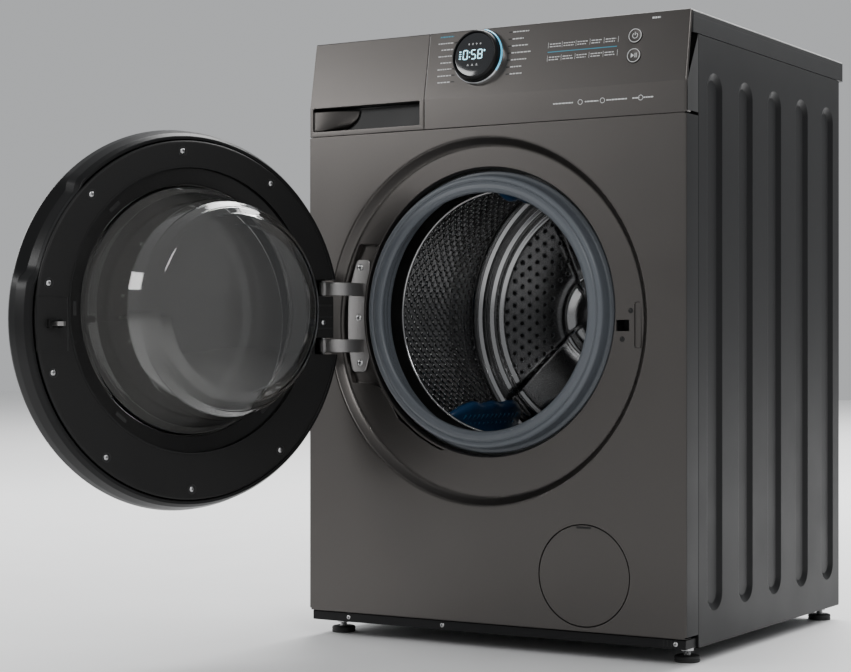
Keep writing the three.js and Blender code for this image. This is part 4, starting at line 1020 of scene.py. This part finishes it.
def base_tray():
    form = Form()
    inside = HALF - 3
    form.block(-inside, inside, 4, 41, 22.2, PANEL_LOW - 0.6)
    form.block(-inside, inside, 40.2, 545, 22.2, 59)
    thing = piece(form, "plinth_and_base", "cabinet", "black_paint", SIDE_PAINT, ["base_tray"], bevel=1.2)
    pits = Form()
    for x in (-250, -150, -50, 50, 150, 250):
        pits.block(x - 38, x + 38, 70, 520, 18, 27)
    carve(thing, pits)
    screws("plinth_screws", [(-232, 4, 29), (-75, 4, 29), (280, 4, 29)], "cabinet", radius=3.4, height=1.6)
    # dark bars on the plinth face, painted shade for its slots
    slots = Form()
    for i in range(4):
        x = 262 + 5.5 * i
        slots.block(x, x + 2, 3.85, 4.6, 24.5, 33.5)
    piece(slots, "plinth_slots", "cabinet", "black_plastic", BLACK_AND_SHADE)


def rear():
    form = Form()
    y = REAR_Y
    inside = HALF - 3.2
    low, high = 67, LID_Z - 0.7
    back = on_rear(y)
    edge = form.line([back(p) for p in [(-inside, low), (inside, low), (inside, high), (-inside, high)]])
    presses = []
    steps = [(0, 0), (0.6, 0.15), (1.6, 0.9), (2.4, 1.3), (3.4, 1.5)]
    for x0, x1, z0, z1 in ((-270, -205, 110, 620), (205, 270, 110, 620)):
        presses.append(form.press(round_box(x0, x1, z0, z1, 20, 6), back, steps))
    presses.append(form.press(round_box(-120, 120, 668, 700, 15, 6), back, steps))
    vents = []
    for i in range(9):
        x = -96 + 24 * i
        for z in (735, 755):
            outline = round_box(x - 8, x + 8, z, z + 6, 2.9, 4)
            vents.append(form.press(outline, back, [(0, 0), (0.2, 0.5), (0.4, 2)]))
    form.fill(edge, *presses, *vents)
    piece(form, "rear_panel_skin", "cabinet", "black_paint", SIDE_PAINT, ["rear_panel"], wall=SHEET,
          towards=(0, 1, 0))
    # access cover
    cover = Form()
    low_y = y + 0.5
    rim_rise, rise = 2.0, 4.6
    plate = on_front(low_y)
    outline = round_box(-189, 189, 76, 654, 50, 10)
    steps = [(0, 0), (0, rim_rise, 1), (22, rim_rise, 1.5), (25.5, rise, 1.5), (60, rise)]
    lines = []
    for distance, out in soften(steps, 1, 4):
        lines.append(cover.line([plate(p, out) for p in inset(outline, distance)]))
    cover.bands(lines)
    grooves = []
    for i in range(4):
        z = 175 + 125 * i
        grooves.append(cover.press(round_box(-95, 95, z - 9, z + 9, 8.9, 8), on_rear(low_y + rise),
                                   [(0, 0), (0.5, 0.15), (2, 1.1), (3, 1.3)]))
    cover.fill(lines[-1], *grooves)
    cover.fill(lines[0])
    piece(cover, "rear_access_cover_plate", "cabinet", "black_paint", SIDE_PAINT, ["rear_access_cover"])
    spots = [(x, low_y + rim_rise, 140 + 110 * i) for x in (-178, 178) for i in range(5)]
    spots += [(x, low_y + rim_rise, z) for x in (-60, 60) for z in (86, 644)]
    screws("access_cover_screws", spots, "cabinet", facing=1, radius=4.2, height=1.9)
    spots = [(sign * (inside - 9), y, z) for sign in (-1, 1) for z in (90, 330, 570, 800)]
    screws("rear_panel_screws", spots, "cabinet", facing=1, radius=4.0, height=1.9)
    # plugs in the four transit bolt holes
    plugs = Form()
    rings = Form()
    for x, z in ((-196.5, 600), (196.5, 600), (-229.25, 250), (229.25, 250)):
        plugs.turn([(0, y + 3.0), (10, y + 2.8), (12, y + 2.0), (12.5, y + 0.4), (12.5, y - 4), (0, y - 4)],
                   x, z, 32)
        rings.turn([(4.2, y + 3.35), (5.2, y + 3.35), (5.2, y + 2.5), (4.2, y + 2.5)], x, z, 24, loop=True)
    piece(plugs, "transit_hole_plugs", "cabinet", "grey_plastic", GREY_PLASTIC)
    piece(rings, "transit_plug_rings", "cabinet", "grey_plastic", MATT_BLACK)
    rear_fittings(y)


def rear_fittings(y):
    x, z = -215, 775
    valve = Form()
    profile = [(8.5, 566.9), (10.8, 566.9), (11.6, 566.2)]
    for i in range(7):
        base = 565 - 2.2 * i
        profile += [(12.5, base), (12.5, base - 0.7), (11.5, base - 1.3), (11.5, base - 1.7)]
    profile += [(12.2, y + 0.8), (17, y + 0.6), (17, y - 3), (8.5, y - 3), (8.5, 566.9)]
    valve.turn(profile, x, z, 48)
    piece(valve, "inlet_valve_thread", "cabinet", "white_plastic", WHITE_PLASTIC)
    mesh_filter = Form()
    for i in range(-3, 4):
        mesh_filter.block(x - 8.2, x + 8.2, 557, 557.7, z + 2.4 * i - 0.3, z + 2.4 * i + 0.3)
        mesh_filter.block(x + 2.4 * i - 0.3, x + 2.4 * i + 0.3, 557.8, 558.5, z - 8.2, z + 8.2)
    piece(mesh_filter, "inlet_strainer", "cabinet", "grey_plastic", GREY_PLASTIC)
    # a dark disc inside the valve, painted shade for its throat
    back = Form()
    back.turn([(0, 554), (8.3, 554), (8.3, 553), (0, 553)], x, z, 32)
    piece(back, "inlet_throat", "cabinet", "black_plastic", BLACK_AND_SHADE)
    inside = y - 7.6
    drain = [(8, 563.8), (10.2, 563.8), (11, 563), (11, 561), (10.4, 560), (10.4, 558.6), (11, 557.6),
             (11, 555), (10.4, 554), (10.4, 552.6), (11, 551.6), (11, y + 1.2), (17, y + 0.9), (17, inside),
             (8, inside), (8, 563.8)]
    gland = [(4, 559.8), (7.4, 559.8), (8.2, 559), (9.4, 556), (12.6, 554), (13, 553.2), (13, 550.4),
             (12.6, y + 0.4), (7, y + 0.2), (7, inside), (4, inside), (4, 559.8)]
    for name, slot, material, z, profile in (
        ("drain_outlet", "grey_plastic", GREY_PLASTIC, 770, drain),
        ("cord_gland", "black_plastic", MATT_BLACK, 700, gland),
    ):
        form = Form()
        form.turn(profile, 235, z, 48)
        piece(form, name + "_fitting", "cabinet", slot, material, [name])


def feet():
    for name in ("front_left_foot", "front_right_foot", "rear_left_foot", "rear_right_foot"):
        low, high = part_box(name)
        middle = machine_mm((low + high) / 2)
        x, y = middle.x, middle.y
        pad = Form()
        pad.upright([(14, 0), (16.6, 0.2), (17, 1.0), (17, 3.0), (16.4, 3.6), (16.4, 4.2), (17, 4.8),
                     (17, 6.6), (16.2, 8.2), (14.6, 8.9), (8, 9.0)], x, y, 40)
        piece(pad, name + "_pad", name + "_body", "black_rubber", BLACK_RUBBER_AND_SHADE, [name])
        stem = Form()
        profile = [(4.4, 8.6)]
        z = 9.0
        while z < 43:
            profile += [(5.0, z), (5.0, z + 0.4), (4.3, z + 0.9)]
            z += 1.5
        stem.upright(profile, x, y, 24)
        stem.upright([(8.2, 14.2), (9.4, 14.8), (9.4, 19.8), (8.2, 20.4)], x, y, 6)
        piece(stem, name + "_stem", name + "_body", "steel", SCREW_STEEL, bevel=0.2)


# ---------------------------------------------------------------- hinge and lock
def hinge_parts():
    plate_y = POCKET_Y - 0.3
    form = Form()
    form.prism(soften([(-205.5, 538, 6), (-228, 538, 8), (-242.8, 488, 20), (-242.8, 425, 20), (-236, 378, 8),
                       (-213, 378, 6), (-206.5, 400, 10), (-205, 460, 30)], 6, 5, closed=True),
               on_front(0), plate_y - 3, plate_y - 0.1)
    thing = piece(form, "hinge_plate", "cabinet", "zinc", ZINC, ["hinge_bracket"], bevel=0.8)
    cut = Form()
    cut.turn([(0, plate_y - 8), (PORT_R + 3.6, plate_y - 8), (PORT_R + 3.6, plate_y + 4), (0, plate_y + 4)],
             DOOR_X, PORT_Z, ROUND)
    carve(thing, cut)
    spots = [(x, plate_y - 3, z) for x, z in ((-221.5, 527), (-221.5, 391), (-224, 455))]
    screws("hinge_screws", spots, "cabinet", radius=5.0, height=2.2)
    # each arm curves forward from the plate to the hinge axis
    a = Vector((-216.5, plate_y - 2))
    b = Vector((-216.5, -14))
    c = Vector((-226, -32))
    d = Vector((hinge.x + 3, hinge.y))
    points = []
    steps = 18
    for i in range(steps + 1):
        t = i / steps
        p = a * (1 - t) ** 3 + b * 3 * t * (1 - t) ** 2 + c * 3 * t * t * (1 - t) + d * t ** 3
        points.append((p.x, p.y))
    half = 2.4
    outline = inset(points, half, closed=False) + inset(points, -half, closed=False)[::-1]
    arms = Form()
    for centre in ARM_Z:
        arms.prism(outline, on_plan, centre - 9.4, centre + 9.4)
    piece(arms, "hinge_arms", "cabinet", "zinc", ZINC, bevel=1.2, steps=3)
    barrels = Form()
    for centre in ARM_Z:
        sleeve = [(3.3, centre - 9.3), (6.1, centre - 9.3), (6.1, centre + 9.3), (3.3, centre + 9.3)]
        barrels.upright(sleeve, hinge.x, hinge.y, 32, loop=True)
    piece(barrels, "hinge_barrels", "cabinet", "zinc", ZINC, bevel=0.6)
    pin = Form()
    pin.upright([(0.01, 403.6), (2.3, 403.6), (2.9, 404.4), (2.9, 505.6), (2.3, 506.4), (0.01, 506.4)],
                hinge.x, hinge.y, 24)
    piece(pin, "hinge_pin_rod", "cabinet", "steel", SCREW_STEEL, ["hinge_pin"], weld=0.0001)


def lock_parts():
    screws("lock_screws", [(LOCK_X + 11.8, FLOOR_Y, LOCK_Z + 19.4), (LOCK_X - 0.8, FLOOR_Y, LOCK_Z - 18)],
           "cabinet", radius=3.6, height=1.2, material=BLACK_AND_SHADE)


# ---------------------------------------------------------------- gasket
def gasket():
    line = [
        (193.6, 22.8), (192.6, 21.6), (188.4, 20.8), (186.9, 18.4), (186.7, 8), (186.0, 2.6), (184.2, 0.4),
        (181.4, -0.5), (178.6, 0.2), (177.5, 1.8), (176.3, 0.2), (173.6, -1.0), (169, -1.2), (165.2, -0.2),
        (163.3, 2.0), (162.8, 5.0), (163.8, 8.6), (167, 12.4), (171, 16), (175, 21.5),
        (176.6, 28), (175.2, 32), (176.6, 36), (175.2, 40), (176.6, 44.6),
    ]
    smooth = soften([(*p, 3) for p in line], 3, 3)
    # the sheet's own thickness, kept on the inner side of the line
    thickness = 2.0
    inner = inset(smooth, -thickness, closed=False)
    form = Form()
    form.turn(smooth + inner[::-1], DOOR_X, PORT_Z, ROUND, loop=True)
    piece(form, "gasket_bellows", "cabinet", "grey_rubber", GASKET, ["door_gasket"])
    # two dark discs low on the gasket, painted shade for its drain holes
    drains = Form()
    for x, z in arc_2d(167.3, DOOR_X, PORT_Z, -97, -83, 2):
        drains.turn([(0, 12.2), (2.6, 12.2), (2.6, 13.6), (0, 13.6)], x, z, 20)
    piece(drains, "gasket_drain_holes", "cabinet", "black_rubber", BLACK_RUBBER_AND_SHADE)


# ---------------------------------------------------------------- drum
def drum_wall_point(u, y, depth=0.0):
    """A point on the drum's side wall: u is the turn in columns, depth is outwards."""
    angle = 2 * PI * u / AROUND
    radius = DRUM_R + depth
    return (DOOR_X + radius * math.cos(angle), y, PORT_Z + radius * math.sin(angle))


def near_lifter(u):
    angle = 2 * PI * u / AROUND
    return any(abs((angle - lifter + PI) % (2 * PI) - PI) < LIFTER_HALF_TURN for lifter in LIFTER_ANGLES)


def drum_side():
    """The perforated side wall: a staggered grid of cells, each a shallow funnel round its hole."""
    form = Form()
    front, back = DRUM_HOLES_Y
    rise = (back - front) / ROWS
    angles = [-PI / 4, 0, PI / 4, PI / 2, 3 * PI / 4, PI, 5 * PI / 4, 3 * PI / 2]
    pitch = 2 * PI * DRUM_R / AROUND
    for row in range(ROWS):
        shift = 0.5 * (row % 2)
        y0, y1 = front + row * rise, front + (row + 1) * rise
        middle = (y0 + y1) / 2
        for column in range(AROUND):
            u = column + shift
            rim = [(u + a, y) for a, y in ((0.5, y0), (0.5, middle), (0.5, y1), (0, y1),
                                           (-0.5, y1), (-0.5, middle), (-0.5, y0), (0, y0))]
            outer = form.line([drum_wall_point(a, b) for a, b in rim])
            if near_lifter(u):
                form.bm.faces.new(outer)
                continue
            loops = [outer]
            for radius, depth in ((3.9, 0.1), (2.9, 0.9), (2.5, 1.7)):
                loops.append(form.line([
                    drum_wall_point(u + radius * math.cos(a) / pitch, middle + radius * math.sin(a), depth)
                    for a in angles]))
            form.bands(loops)
    piece(form, "drum_side_wall", "drum", "steel", DRUM_STEEL, ["drum_shell"], weld=0.02, smooth=50)
    # beads at the front and the back of the perforated wall, and the rolled front lip
    ends = Form()
    lip = [(DRUM_R, front), (DRUM_R - 1.6, front - 3), (DRUM_R, front - 6), (DRUM_R - 0.5, front - 9),
           (DRUM_R - 4, 76), (DRUM_R - 14, 72.5), (DRUM_R - 24, 71), (DRUM_R - 30, 69), (DRUM_R - 45, 66.5),
           (173.5, 64.6), (170.5, 64.2), (168.6, 65.4), (168.3, 67.2), (169.6, 68.4)]
    ends.turn(soften([(*p, 3) for p in lip], 3, 3), DOOR_X, PORT_Z, ROUND)
    bead = [(DRUM_R, back), (DRUM_R - 2.2, back + 3.5, 2), (DRUM_R, back + 7, 2),
            (DRUM_R - 0.4, back + 10, 2), (DRUM_R - 3, back + 14.5, 4), (DRUM_R - 9, back + 17)]
    ends.turn(soften(bead, 2, 4), DOOR_X, PORT_Z, ROUND)
    piece(ends, "drum_end_rings", "drum", "steel", DRUM_STEEL, wall=0.6, weld=0.01)


def back_relief(r, angle):
    """How far forward the drum's back stands at a radius and angle, in millimetres."""
    def bump(x, centre, width):
        t = (x - centre) / width
        return math.exp(-t * t)

    level = 7.0 * bump(r, 206, 7) + 4.5 * bump(r, 190, 5) + 5.0 * bump(r, 68, 8) + 7.0 * bump(r, 0, 26)
    for spoke in LIFTER_ANGLES:
        turn = (angle - spoke + PI) % (2 * PI) - PI
        across = r * math.sin(turn)
        if math.cos(turn) > 0:
            half = 16 + 0.10 * r
            edge = max(0.0, 1 - max(abs(across) - half, 0) / 9)
            inside = 3 * edge ** 2 - 2 * edge ** 3
            fade = 1 / (1 + math.exp((58 - r) / 5)) / (1 + math.exp((r - 205) / 6))
            level += 9.0 * inside * fade
    return level


def drum_back():
    form = Form()
    radii = [0, 4, 9, 14, 19, 23, 27, 31, 36, 42, 48, 54, 59, 63, 67, 71, 75, 80, 87, 95, 104, 113, 122,
             131, 140, 149, 158, 166, 173, 179, 183, 186, 189, 192, 196, 200, 203, 206, 209, 212, 216,
             DRUM_R - 9]
    segments = 240
    angles = [2 * PI * i / segments for i in range(segments)]
    lines = []
    for radius in radii:
        points = [(DOOR_X + radius * math.cos(angle), BACK_FLAT_Y - back_relief(radius, angle),
                   PORT_Z + radius * math.sin(angle)) for angle in angles]
        if radius == 0:
            lines.append([form.bm.verts.new(points[0])] * segments)
        else:
            lines.append(form.line(points))
    form.bands(lines)
    piece(form, "drum_back_wall", "drum", "steel", DRUM_STEEL, wall=0.6, towards=(0, -1, 0), smooth=60)
    # dished holes in the three fields between the spokes: each a dark disc, painted shade for the hole, in a steel
    # rim
    holes = Form()
    rims = Form()
    step_x, step_z = 13.5, 19.0
    reach = 14
    for i in range(-reach, reach + 1):
        for k in range(-reach, reach + 1):
            dx = i * step_x
            dz = k * step_z + (step_z / 2 if i % 2 else 0)
            radius, angle = math.hypot(dx, dz), math.atan2(dz, dx)
            if not 90 < radius < 180 or back_relief(radius, angle) > 0.35:
                continue
            x, z, y = DOOR_X + dx, PORT_Z + dz, BACK_FLAT_Y
            holes.turn([(0, y - 0.25), (2.7, y - 0.25), (2.7, y + 0.4), (0, y + 0.4)], x, z, 14)
            rims.turn([(2.7, y - 0.2), (3.0, y - 0.75), (3.6, y - 0.85), (4.6, y - 0.05)], x, z, 18)
    piece(holes, "drum_back_holes", "drum", "black_plastic", BLACK_AND_SHADE, weld=0.0001)
    piece(rims, "drum_back_hole_rims", "drum", "steel", DRUM_STEEL, wall=0.3, towards=(0, -1, 0), weld=0.0001)


def lifter(index, angle):
    """A long blue ridge with rounded ends, slots along its flanks and a wavy crest."""
    form = Form()
    y0, y1 = 112, 356
    foot = DRUM_R - 1.4
    width = 29
    rows = 34
    lines = []
    for i in range(rows + 1):
        t = i / rows
        end = min(1.0, 4.2 * t, 4.2 * (1 - t) + 0.02)
        size = math.sin(end * PI / 2) ** 0.8 if end > 0 else 0.02
        crest = (54 + 2.2 * math.sin(t * 9 * PI)) * max(size, 0.12)
        half = width * max(0.55, size)
        flank = [(1, 0.0), (0.8, 3.5), (0.52, 12), (0.36, crest * 0.55), (0.28, crest * 0.86),
                 (0.16, crest * 0.975)]
        line = [(-half * a, h) for a, h in flank] + [(0, crest)] + [(half * a, h) for a, h in flank[::-1]]
        points = []
        for side, h in line:
            radius = foot - h - side * side / (2 * (DRUM_R - 2))
            points.append((DOOR_X + radius * math.cos(angle) - side * math.sin(angle), y0 + (y1 - y0) * t,
                           PORT_Z + radius * math.sin(angle) + side * math.cos(angle)))
        lines.append(form.line(points))
    form.bands(lines)
    form.cap(lines)
    name = "lifter_" + str(index + 1)
    piece(form, name + "_ridge", "drum", "navy_plastic", NAVY, [name], smooth=50)
    slots = Form()
    for flank in (-1, 1):
        for i in range(13):
            y = 160 + 12.5 * i
            for height in (22, 36):
                across = flank * (width * 0.43 - (height - 12) * 0.16 + 0.35)
                radius = foot - height
                x = DOOR_X + radius * math.cos(angle) - across * math.sin(angle)
                z = PORT_Z + radius * math.sin(angle) + across * math.cos(angle)
                path = [(x + k * math.cos(angle), y, z + k * math.sin(angle)) for k in (-4.2, 0, 4.2)]
                slots.sweep(path, 1.5, 8)
    piece(slots, name + "_slots", "drum", "navy_plastic", SLOT_BLUE, weld=0.0001)


# ---------------------------------------------------------------- door
def door_ring():
    """The door's shell: a broad rounded rim with a finger grip, hollow behind."""
    profile = soften([
        (178.3, -49.2, 0), (178.3, -52, 0.8), (205, -51.8, 20), (236, -50.2, 14), (247.5, -44.5, 10),
        (252.5, -34, 8), (250.6, -22, 20), (246.2, -7, 6), (241.5, 0.3, 2.4), (237.4, 0.5, 1.4),
        (237.2, -4, 1),
    ], 2, 6)
    inner = [(239.5, -6), (245.5, -24), (248.8, -33.5), (246, -40.5), (235, -47.2), (205, -48.9)]
    form = Form()
    segments = 180
    step = 2 * PI / segments
    lines = []
    grip_start, grip_end = GRIP
    for radius, y in profile + inner:
        points = []
        for i in range(segments):
            angle = i * step
            squeeze = 0.0
            if grip_start < angle < grip_end and radius > 236 and y > -31:
                edge = min(angle - grip_start, grip_end - angle) / math.radians(3.2)
                squeeze = 8.5 * min(1.0, edge) * min(1.0, (y + 31) / 10)
            own = max(radius - squeeze, 236.4) if squeeze else radius
            points.append((DOOR_X + own * math.cos(angle), y, RECESS_Z + own * math.sin(angle)))
        lines.append(form.line(points))
    form.bands(lines, loop=True)
    thing = piece(form, "door_rim_shell", "door", "gloss_black", GLOSS_BLACK, ["door_outer_ring"], door=True)
    cut = Form()
    x0, x1, z0, z1 = BLOCK_GAP
    cut.block(x0, x1, -42, 22, z0, z1)
    carve_door(thing, cut)


def carve_door(thing, form):
    """Cuts a form, written with the door shut, out of a door piece."""
    for vert in form.bm.verts:
        vert.co = hinge + Matrix.Rotation(-DOOR_OPEN, 3, "Z") @ (vert.co - hinge)
    return carve(thing, form)


def door_pane():
    form = Form()
    form.turn([(0, -55.9), (50, -55.7), (100, -55.0), (150, -53.6), (174, -52.2), (177.2, -51.4),
               (177.5, -50.2), (176.8, -49.1), (150, -50.8), (100, -52.3), (0, -53.1)], DOOR_X, RECESS_Z, 128)
    piece(form, "door_outer_pane", "door", "smoked_glass", SMOKED_PANE, ["door_outer_window"], door=True)


def door_frame():
    """The door's inner face: a flat ring, a groove, a dish down to the glass, and its openings."""
    form = Form()
    flat = on_front(4)
    rim = [(235.8, -0.8), (235.9, 1.6), (235.2, 3.0), (233.8, 3.8), (232.2, 4.0)]
    outer = form.turn(rim, DOOR_X, RECESS_Z, ROUND)
    bowl = [(190.6, 4.0), (188.6, 3.6, 1), (186.9, -2.6, 1.2), (184.5, -3.4, 1.0), (167.5, -7.6, 2),
            (165.6, -8.4, 1), (165.5, -10.8)]
    dish = form.turn(soften(bowl, 1, 3), DOOR_X, PORT_Z, ROUND)
    slot = form.press(round_box(LOCK_X - 9, LOCK_X + 11, LOCK_Z - 6, LOCK_Z + 6, 2.5, 3), flat,
                      [(0, 0), (0.3, 0.3), (0.4, 7)], floor=False)
    form.fill(outer[-1], dish[0], slot)
    thing = piece(form, "door_inner_ring", "door", "black_plastic", MATT_BLACK, ["door_inner_frame"],
                  wall=1.2, towards=(0, 1, 0), door=True)
    cut = Form()
    x0, x1, z0, z1 = BLOCK_GAP
    cut.block(x0, x1, -20, 22, z0, z1)
    carve_door(thing, cut)
    # the groove round the glass and the wedge-shaped clips in it
    groove = Form()
    groove.turn([(187.4, 4.15), (189.2, 4.15), (189.2, 3.2), (187.4, 3.2)], DOOR_X, PORT_Z, ROUND, loop=True)
    piece(groove, "door_groove_shadow", "door", "black_plastic", BLACK_AND_SHADE, door=True)
    clips = Form()
    clip_ring, clip_half, clip_rise = 176, 9, 2.4
    for degrees in (-52, 48, 132, -132, 0):
        angle = math.radians(degrees)
        out = Vector((math.cos(angle), math.sin(angle)))
        along = Vector((-out.y, out.x))
        centre = Vector((DOOR_X, PORT_Z)) + out * clip_ring
        corners = [centre + along * (clip_half * a) + out * (clip_rise * b)
                   for a, b in ((-1, -1), (1, -1), (1, 1), (-1, 1))]
        clips.prism(corners, on_front(0), -5.6, -4.6)
    piece(clips, "door_glass_clips", "door", "black_plastic", SATIN_BLACK, door=True, bevel=0.3)
    spots = []
    screw_ring = 222
    for degrees in (84.5, 45, 11.3, -17.8, -52.3, -88.2, -127.8, 122.8):
        angle = math.radians(degrees)
        spots.append((DOOR_X + screw_ring * math.cos(angle), 3.9, RECESS_Z + screw_ring * math.sin(angle)))
    wells = Form()
    for x, _, z in spots:
        wells.turn([(4.6, 4.0), (4.9, 4.45), (6.2, 4.45), (6.6, 4.0)], x, z, 28)
    piece(wells, "door_screw_wells", "door", "black_plastic", SATIN_BLACK, door=True, wall=0.3,
          towards=(0, 1, 0), weld=0.0001)
    screws("door_frame_screws", spots, "door", door=True, facing=1, radius=3.6, height=1.3)
    # the plate round the latch
    plate = Form()
    line = round_box(LOCK_X - 20, LOCK_X + 32.6, LOCK_Z - 34, LOCK_Z + 34, 1.5, 3)
    outer_line = [p for p in line if math.hypot(p[0] - DOOR_X, p[1] - RECESS_Z) < 233.5]
    face = plate.line([(a, 4.35, b) for a, b in outer_line])
    hole = plate.press(round_box(LOCK_X - 8.7, LOCK_X + 10.7, LOCK_Z - 5.7, LOCK_Z + 5.7, 2.3, 3),
                       on_front(4.35), [(0, 0), (0.2, -0.6)], floor=False)
    plate.fill(face, hole)
    piece(plate, "latch_plate", "door", "black_plastic", SATIN_BLACK, door=True, wall=0.6,
          towards=(0, 1, 0))
    seams = Form()
    for z in (LOCK_Z - 34, LOCK_Z + 34):
        seams.block(LOCK_X - 20, LOCK_X + 27, 4.0, 4.6, z - 0.35, z + 0.35)
    seams.block(LOCK_X + 24, LOCK_X + 24.8, 4.0, 4.7, LOCK_Z - 34, LOCK_Z + 34)
    piece(seams, "latch_plate_seams", "door", "black_plastic", BLACK_AND_SHADE, door=True)


def door_glass():
    outer = [(0, 110.9), (60, 110.4), (108, 109), (122, 105.4), (131.5, 97), (138.5, 84), (143.5, 65),
             (149.8, 35), (154.8, 10), (158.8, 1.6), (163.0, -4.4), (164.6, -9.2), (165.2, -11.6),
             (171.8, -11.7), (171.8, -14.2)]
    inner = [(161.2, -14.2), (160.2, -6), (155.6, 1), (151, 9), (146, 34.5), (139.6, 64), (134.6, 82),
             (128.4, 93.8), (120, 101.6), (107, 105.1), (60, 106.5), (0, 107)]
    profile = soften([(*p, 8) for p in outer], 8, 4) + soften([(*p, 6) for p in inner], 6, 4)
    form = Form()
    form.turn(profile, DOOR_X, PORT_Z, 160)
    piece(form, "door_glass", "door", "smoked_glass", BOWL_GLASS, ["door_glass_bowl"], door=True, smooth=60)


def door_hinge_block():
    low, high = 426.2, 483.8
    form = Form()
    form.prism([(-205.6, -40.5), (-236, -40.5), (-252, -39), (-256.5, -34), (-254, -28.5), (-246, -14),
                (-240, 0), (-238, 3.4), (-205.6, 3.4)], on_plan, low, high)
    piece(form, "hinge_block", "door", "black_plastic", MATT_BLACK, ["door_hinge_block"], door=True,
          bevel=1.2)
    ribs = Form()
    for z in (439, 455, 471):
        ribs.block(-236, -207, 3.2, 3.75, z - 1.2, z + 1.2)
    piece(ribs, "hinge_block_ribs", "door", "black_plastic", SATIN_BLACK, door=True, bevel=0.3)
    screws("hinge_block_screw", [(-220.8, 3.4, 447)], "door", door=True, facing=1, radius=3.6, height=1.5)


def latch():
    form = Form()
    hook = [(-2.7, -9, 1), (3.3, -9, 1), (3.3, 18, 4), (-0.5, 24.8, 1.5), (-5.9, 22, 1), (-5.9, 18.4, 0.6),
            (-2.7, 15.6, 1.5)]
    outline = soften([(LOCK_X + x, y, radius) for x, y, radius in hook], 1, 4, closed=True)
    form.prism(outline, on_plan, LOCK_Z - 2.8, LOCK_Z + 2.8)
    piece(form, "latch_hook_arm", "latch", "zinc", ZINC, ["latch_hook"], door=True, bevel=0.6, steps=3)


# ---------------------------------------------------------------- frame pieces that keep their own shape
def dress_frame():
    slots = {entry["node"]: entry["material_slot"] for entry in frame["record"]["subparts"]}
    for name, node in frame["nodes"].items():
        node.data.materials.clear()
        node.data.materials.append(SLOT_LOOKS[slots[name]])


# ---------------------------------------------------------------- stage, light and camera
def stage():
    floor = bpy.data.objects.new("floor", bpy.data.meshes.new("floor"))
    bm = bmesh.new()
    bmesh.ops.create_grid(bm, x_segments=8, y_segments=8, size=14)
    bm.to_mesh(floor.data)
    bm.free()
    bpy.context.scene.collection.objects.link(floor)
    pale = look("pale_floor", (0.86, 0.86, 0.86), 0.6, 0.0, 30, 0.0, 0.0001, 0.01, 0.05)
    floor.data.materials.append(pale)
    world = bpy.data.worlds.new("studio")
    bpy.context.scene.world = world
    world.use_nodes = True
    world.node_tree.nodes["Background"].inputs["Color"].default_value = (0.96, 0.98, 1.0, 1)
    world.node_tree.nodes["Background"].inputs["Strength"].default_value = 0.5


def soft_light(name, spot, target, size, power):
    data = bpy.data.lights.new(name, "AREA")
    data.shape = "RECTANGLE"
    data.size, data.size_y = size
    data.energy = power
    light = bpy.data.objects.new(name, data)
    bpy.context.scene.collection.objects.link(light)
    light.location = spot
    light.rotation_euler = (Vector(target) - Vector(spot)).to_track_quat("-Z", "Y").to_euler()


def lights():
    soft_light("front_left_high", (-2.5, -2.7, 1.75), (-0.1, 0.03, 0.65), (1.4, 0.8), 40)
    soft_light("right_key", (2.6, -2.4, 2.6), (0.1, 0.1, 0.4), (1.2, 1.2), 45)
    soft_light("rear_fill", (0.2, 3.4, 2.4), (0.05, 0.3, 0.4), (2.2, 1.6), 70)
    soft_light("left_fill", (-3.6, 0.6, 1.6), (0, 0.3, 0.4), (1.6, 1.4), 35)
    soft_light("backdrop", (0.0, 5.0, 5.5), (-0.4, 6.0, 0.0), (7.0, 5.0), 1000)


def camera():
    data = bpy.data.cameras.new("camera")
    data.sensor_width = 36
    data.lens = 82.56
    data.shift_x = -0.0758
    data.shift_y = 0.0215
    data.clip_end = 60
    view = bpy.data.objects.new("camera", data)
    bpy.context.scene.collection.objects.link(view)
    view.location = place(CAMERA_MM, False)
    view.rotation_euler = (PI / 2, 0, CAMERA_YAW)
    bpy.context.scene.camera = view


# ---------------------------------------------------------------- everything
camera()
stage()
lights()
dress_frame()
front_panel()
hatch()
control_fascia()
drawer_front()
dial()
buttons()
fascia_marks()
side_panel(-1, "left_side_panel")
side_panel(1, "right_side_panel")
top_cover()
base_tray()
rear()
feet()
hinge_parts()
lock_parts()
gasket()
drum_side()
drum_back()
for number, lifter_angle in enumerate(LIFTER_ANGLES):
    lifter(number, lifter_angle)
door_ring()
door_pane()
door_frame()
door_glass()
door_hinge_block()
latch()
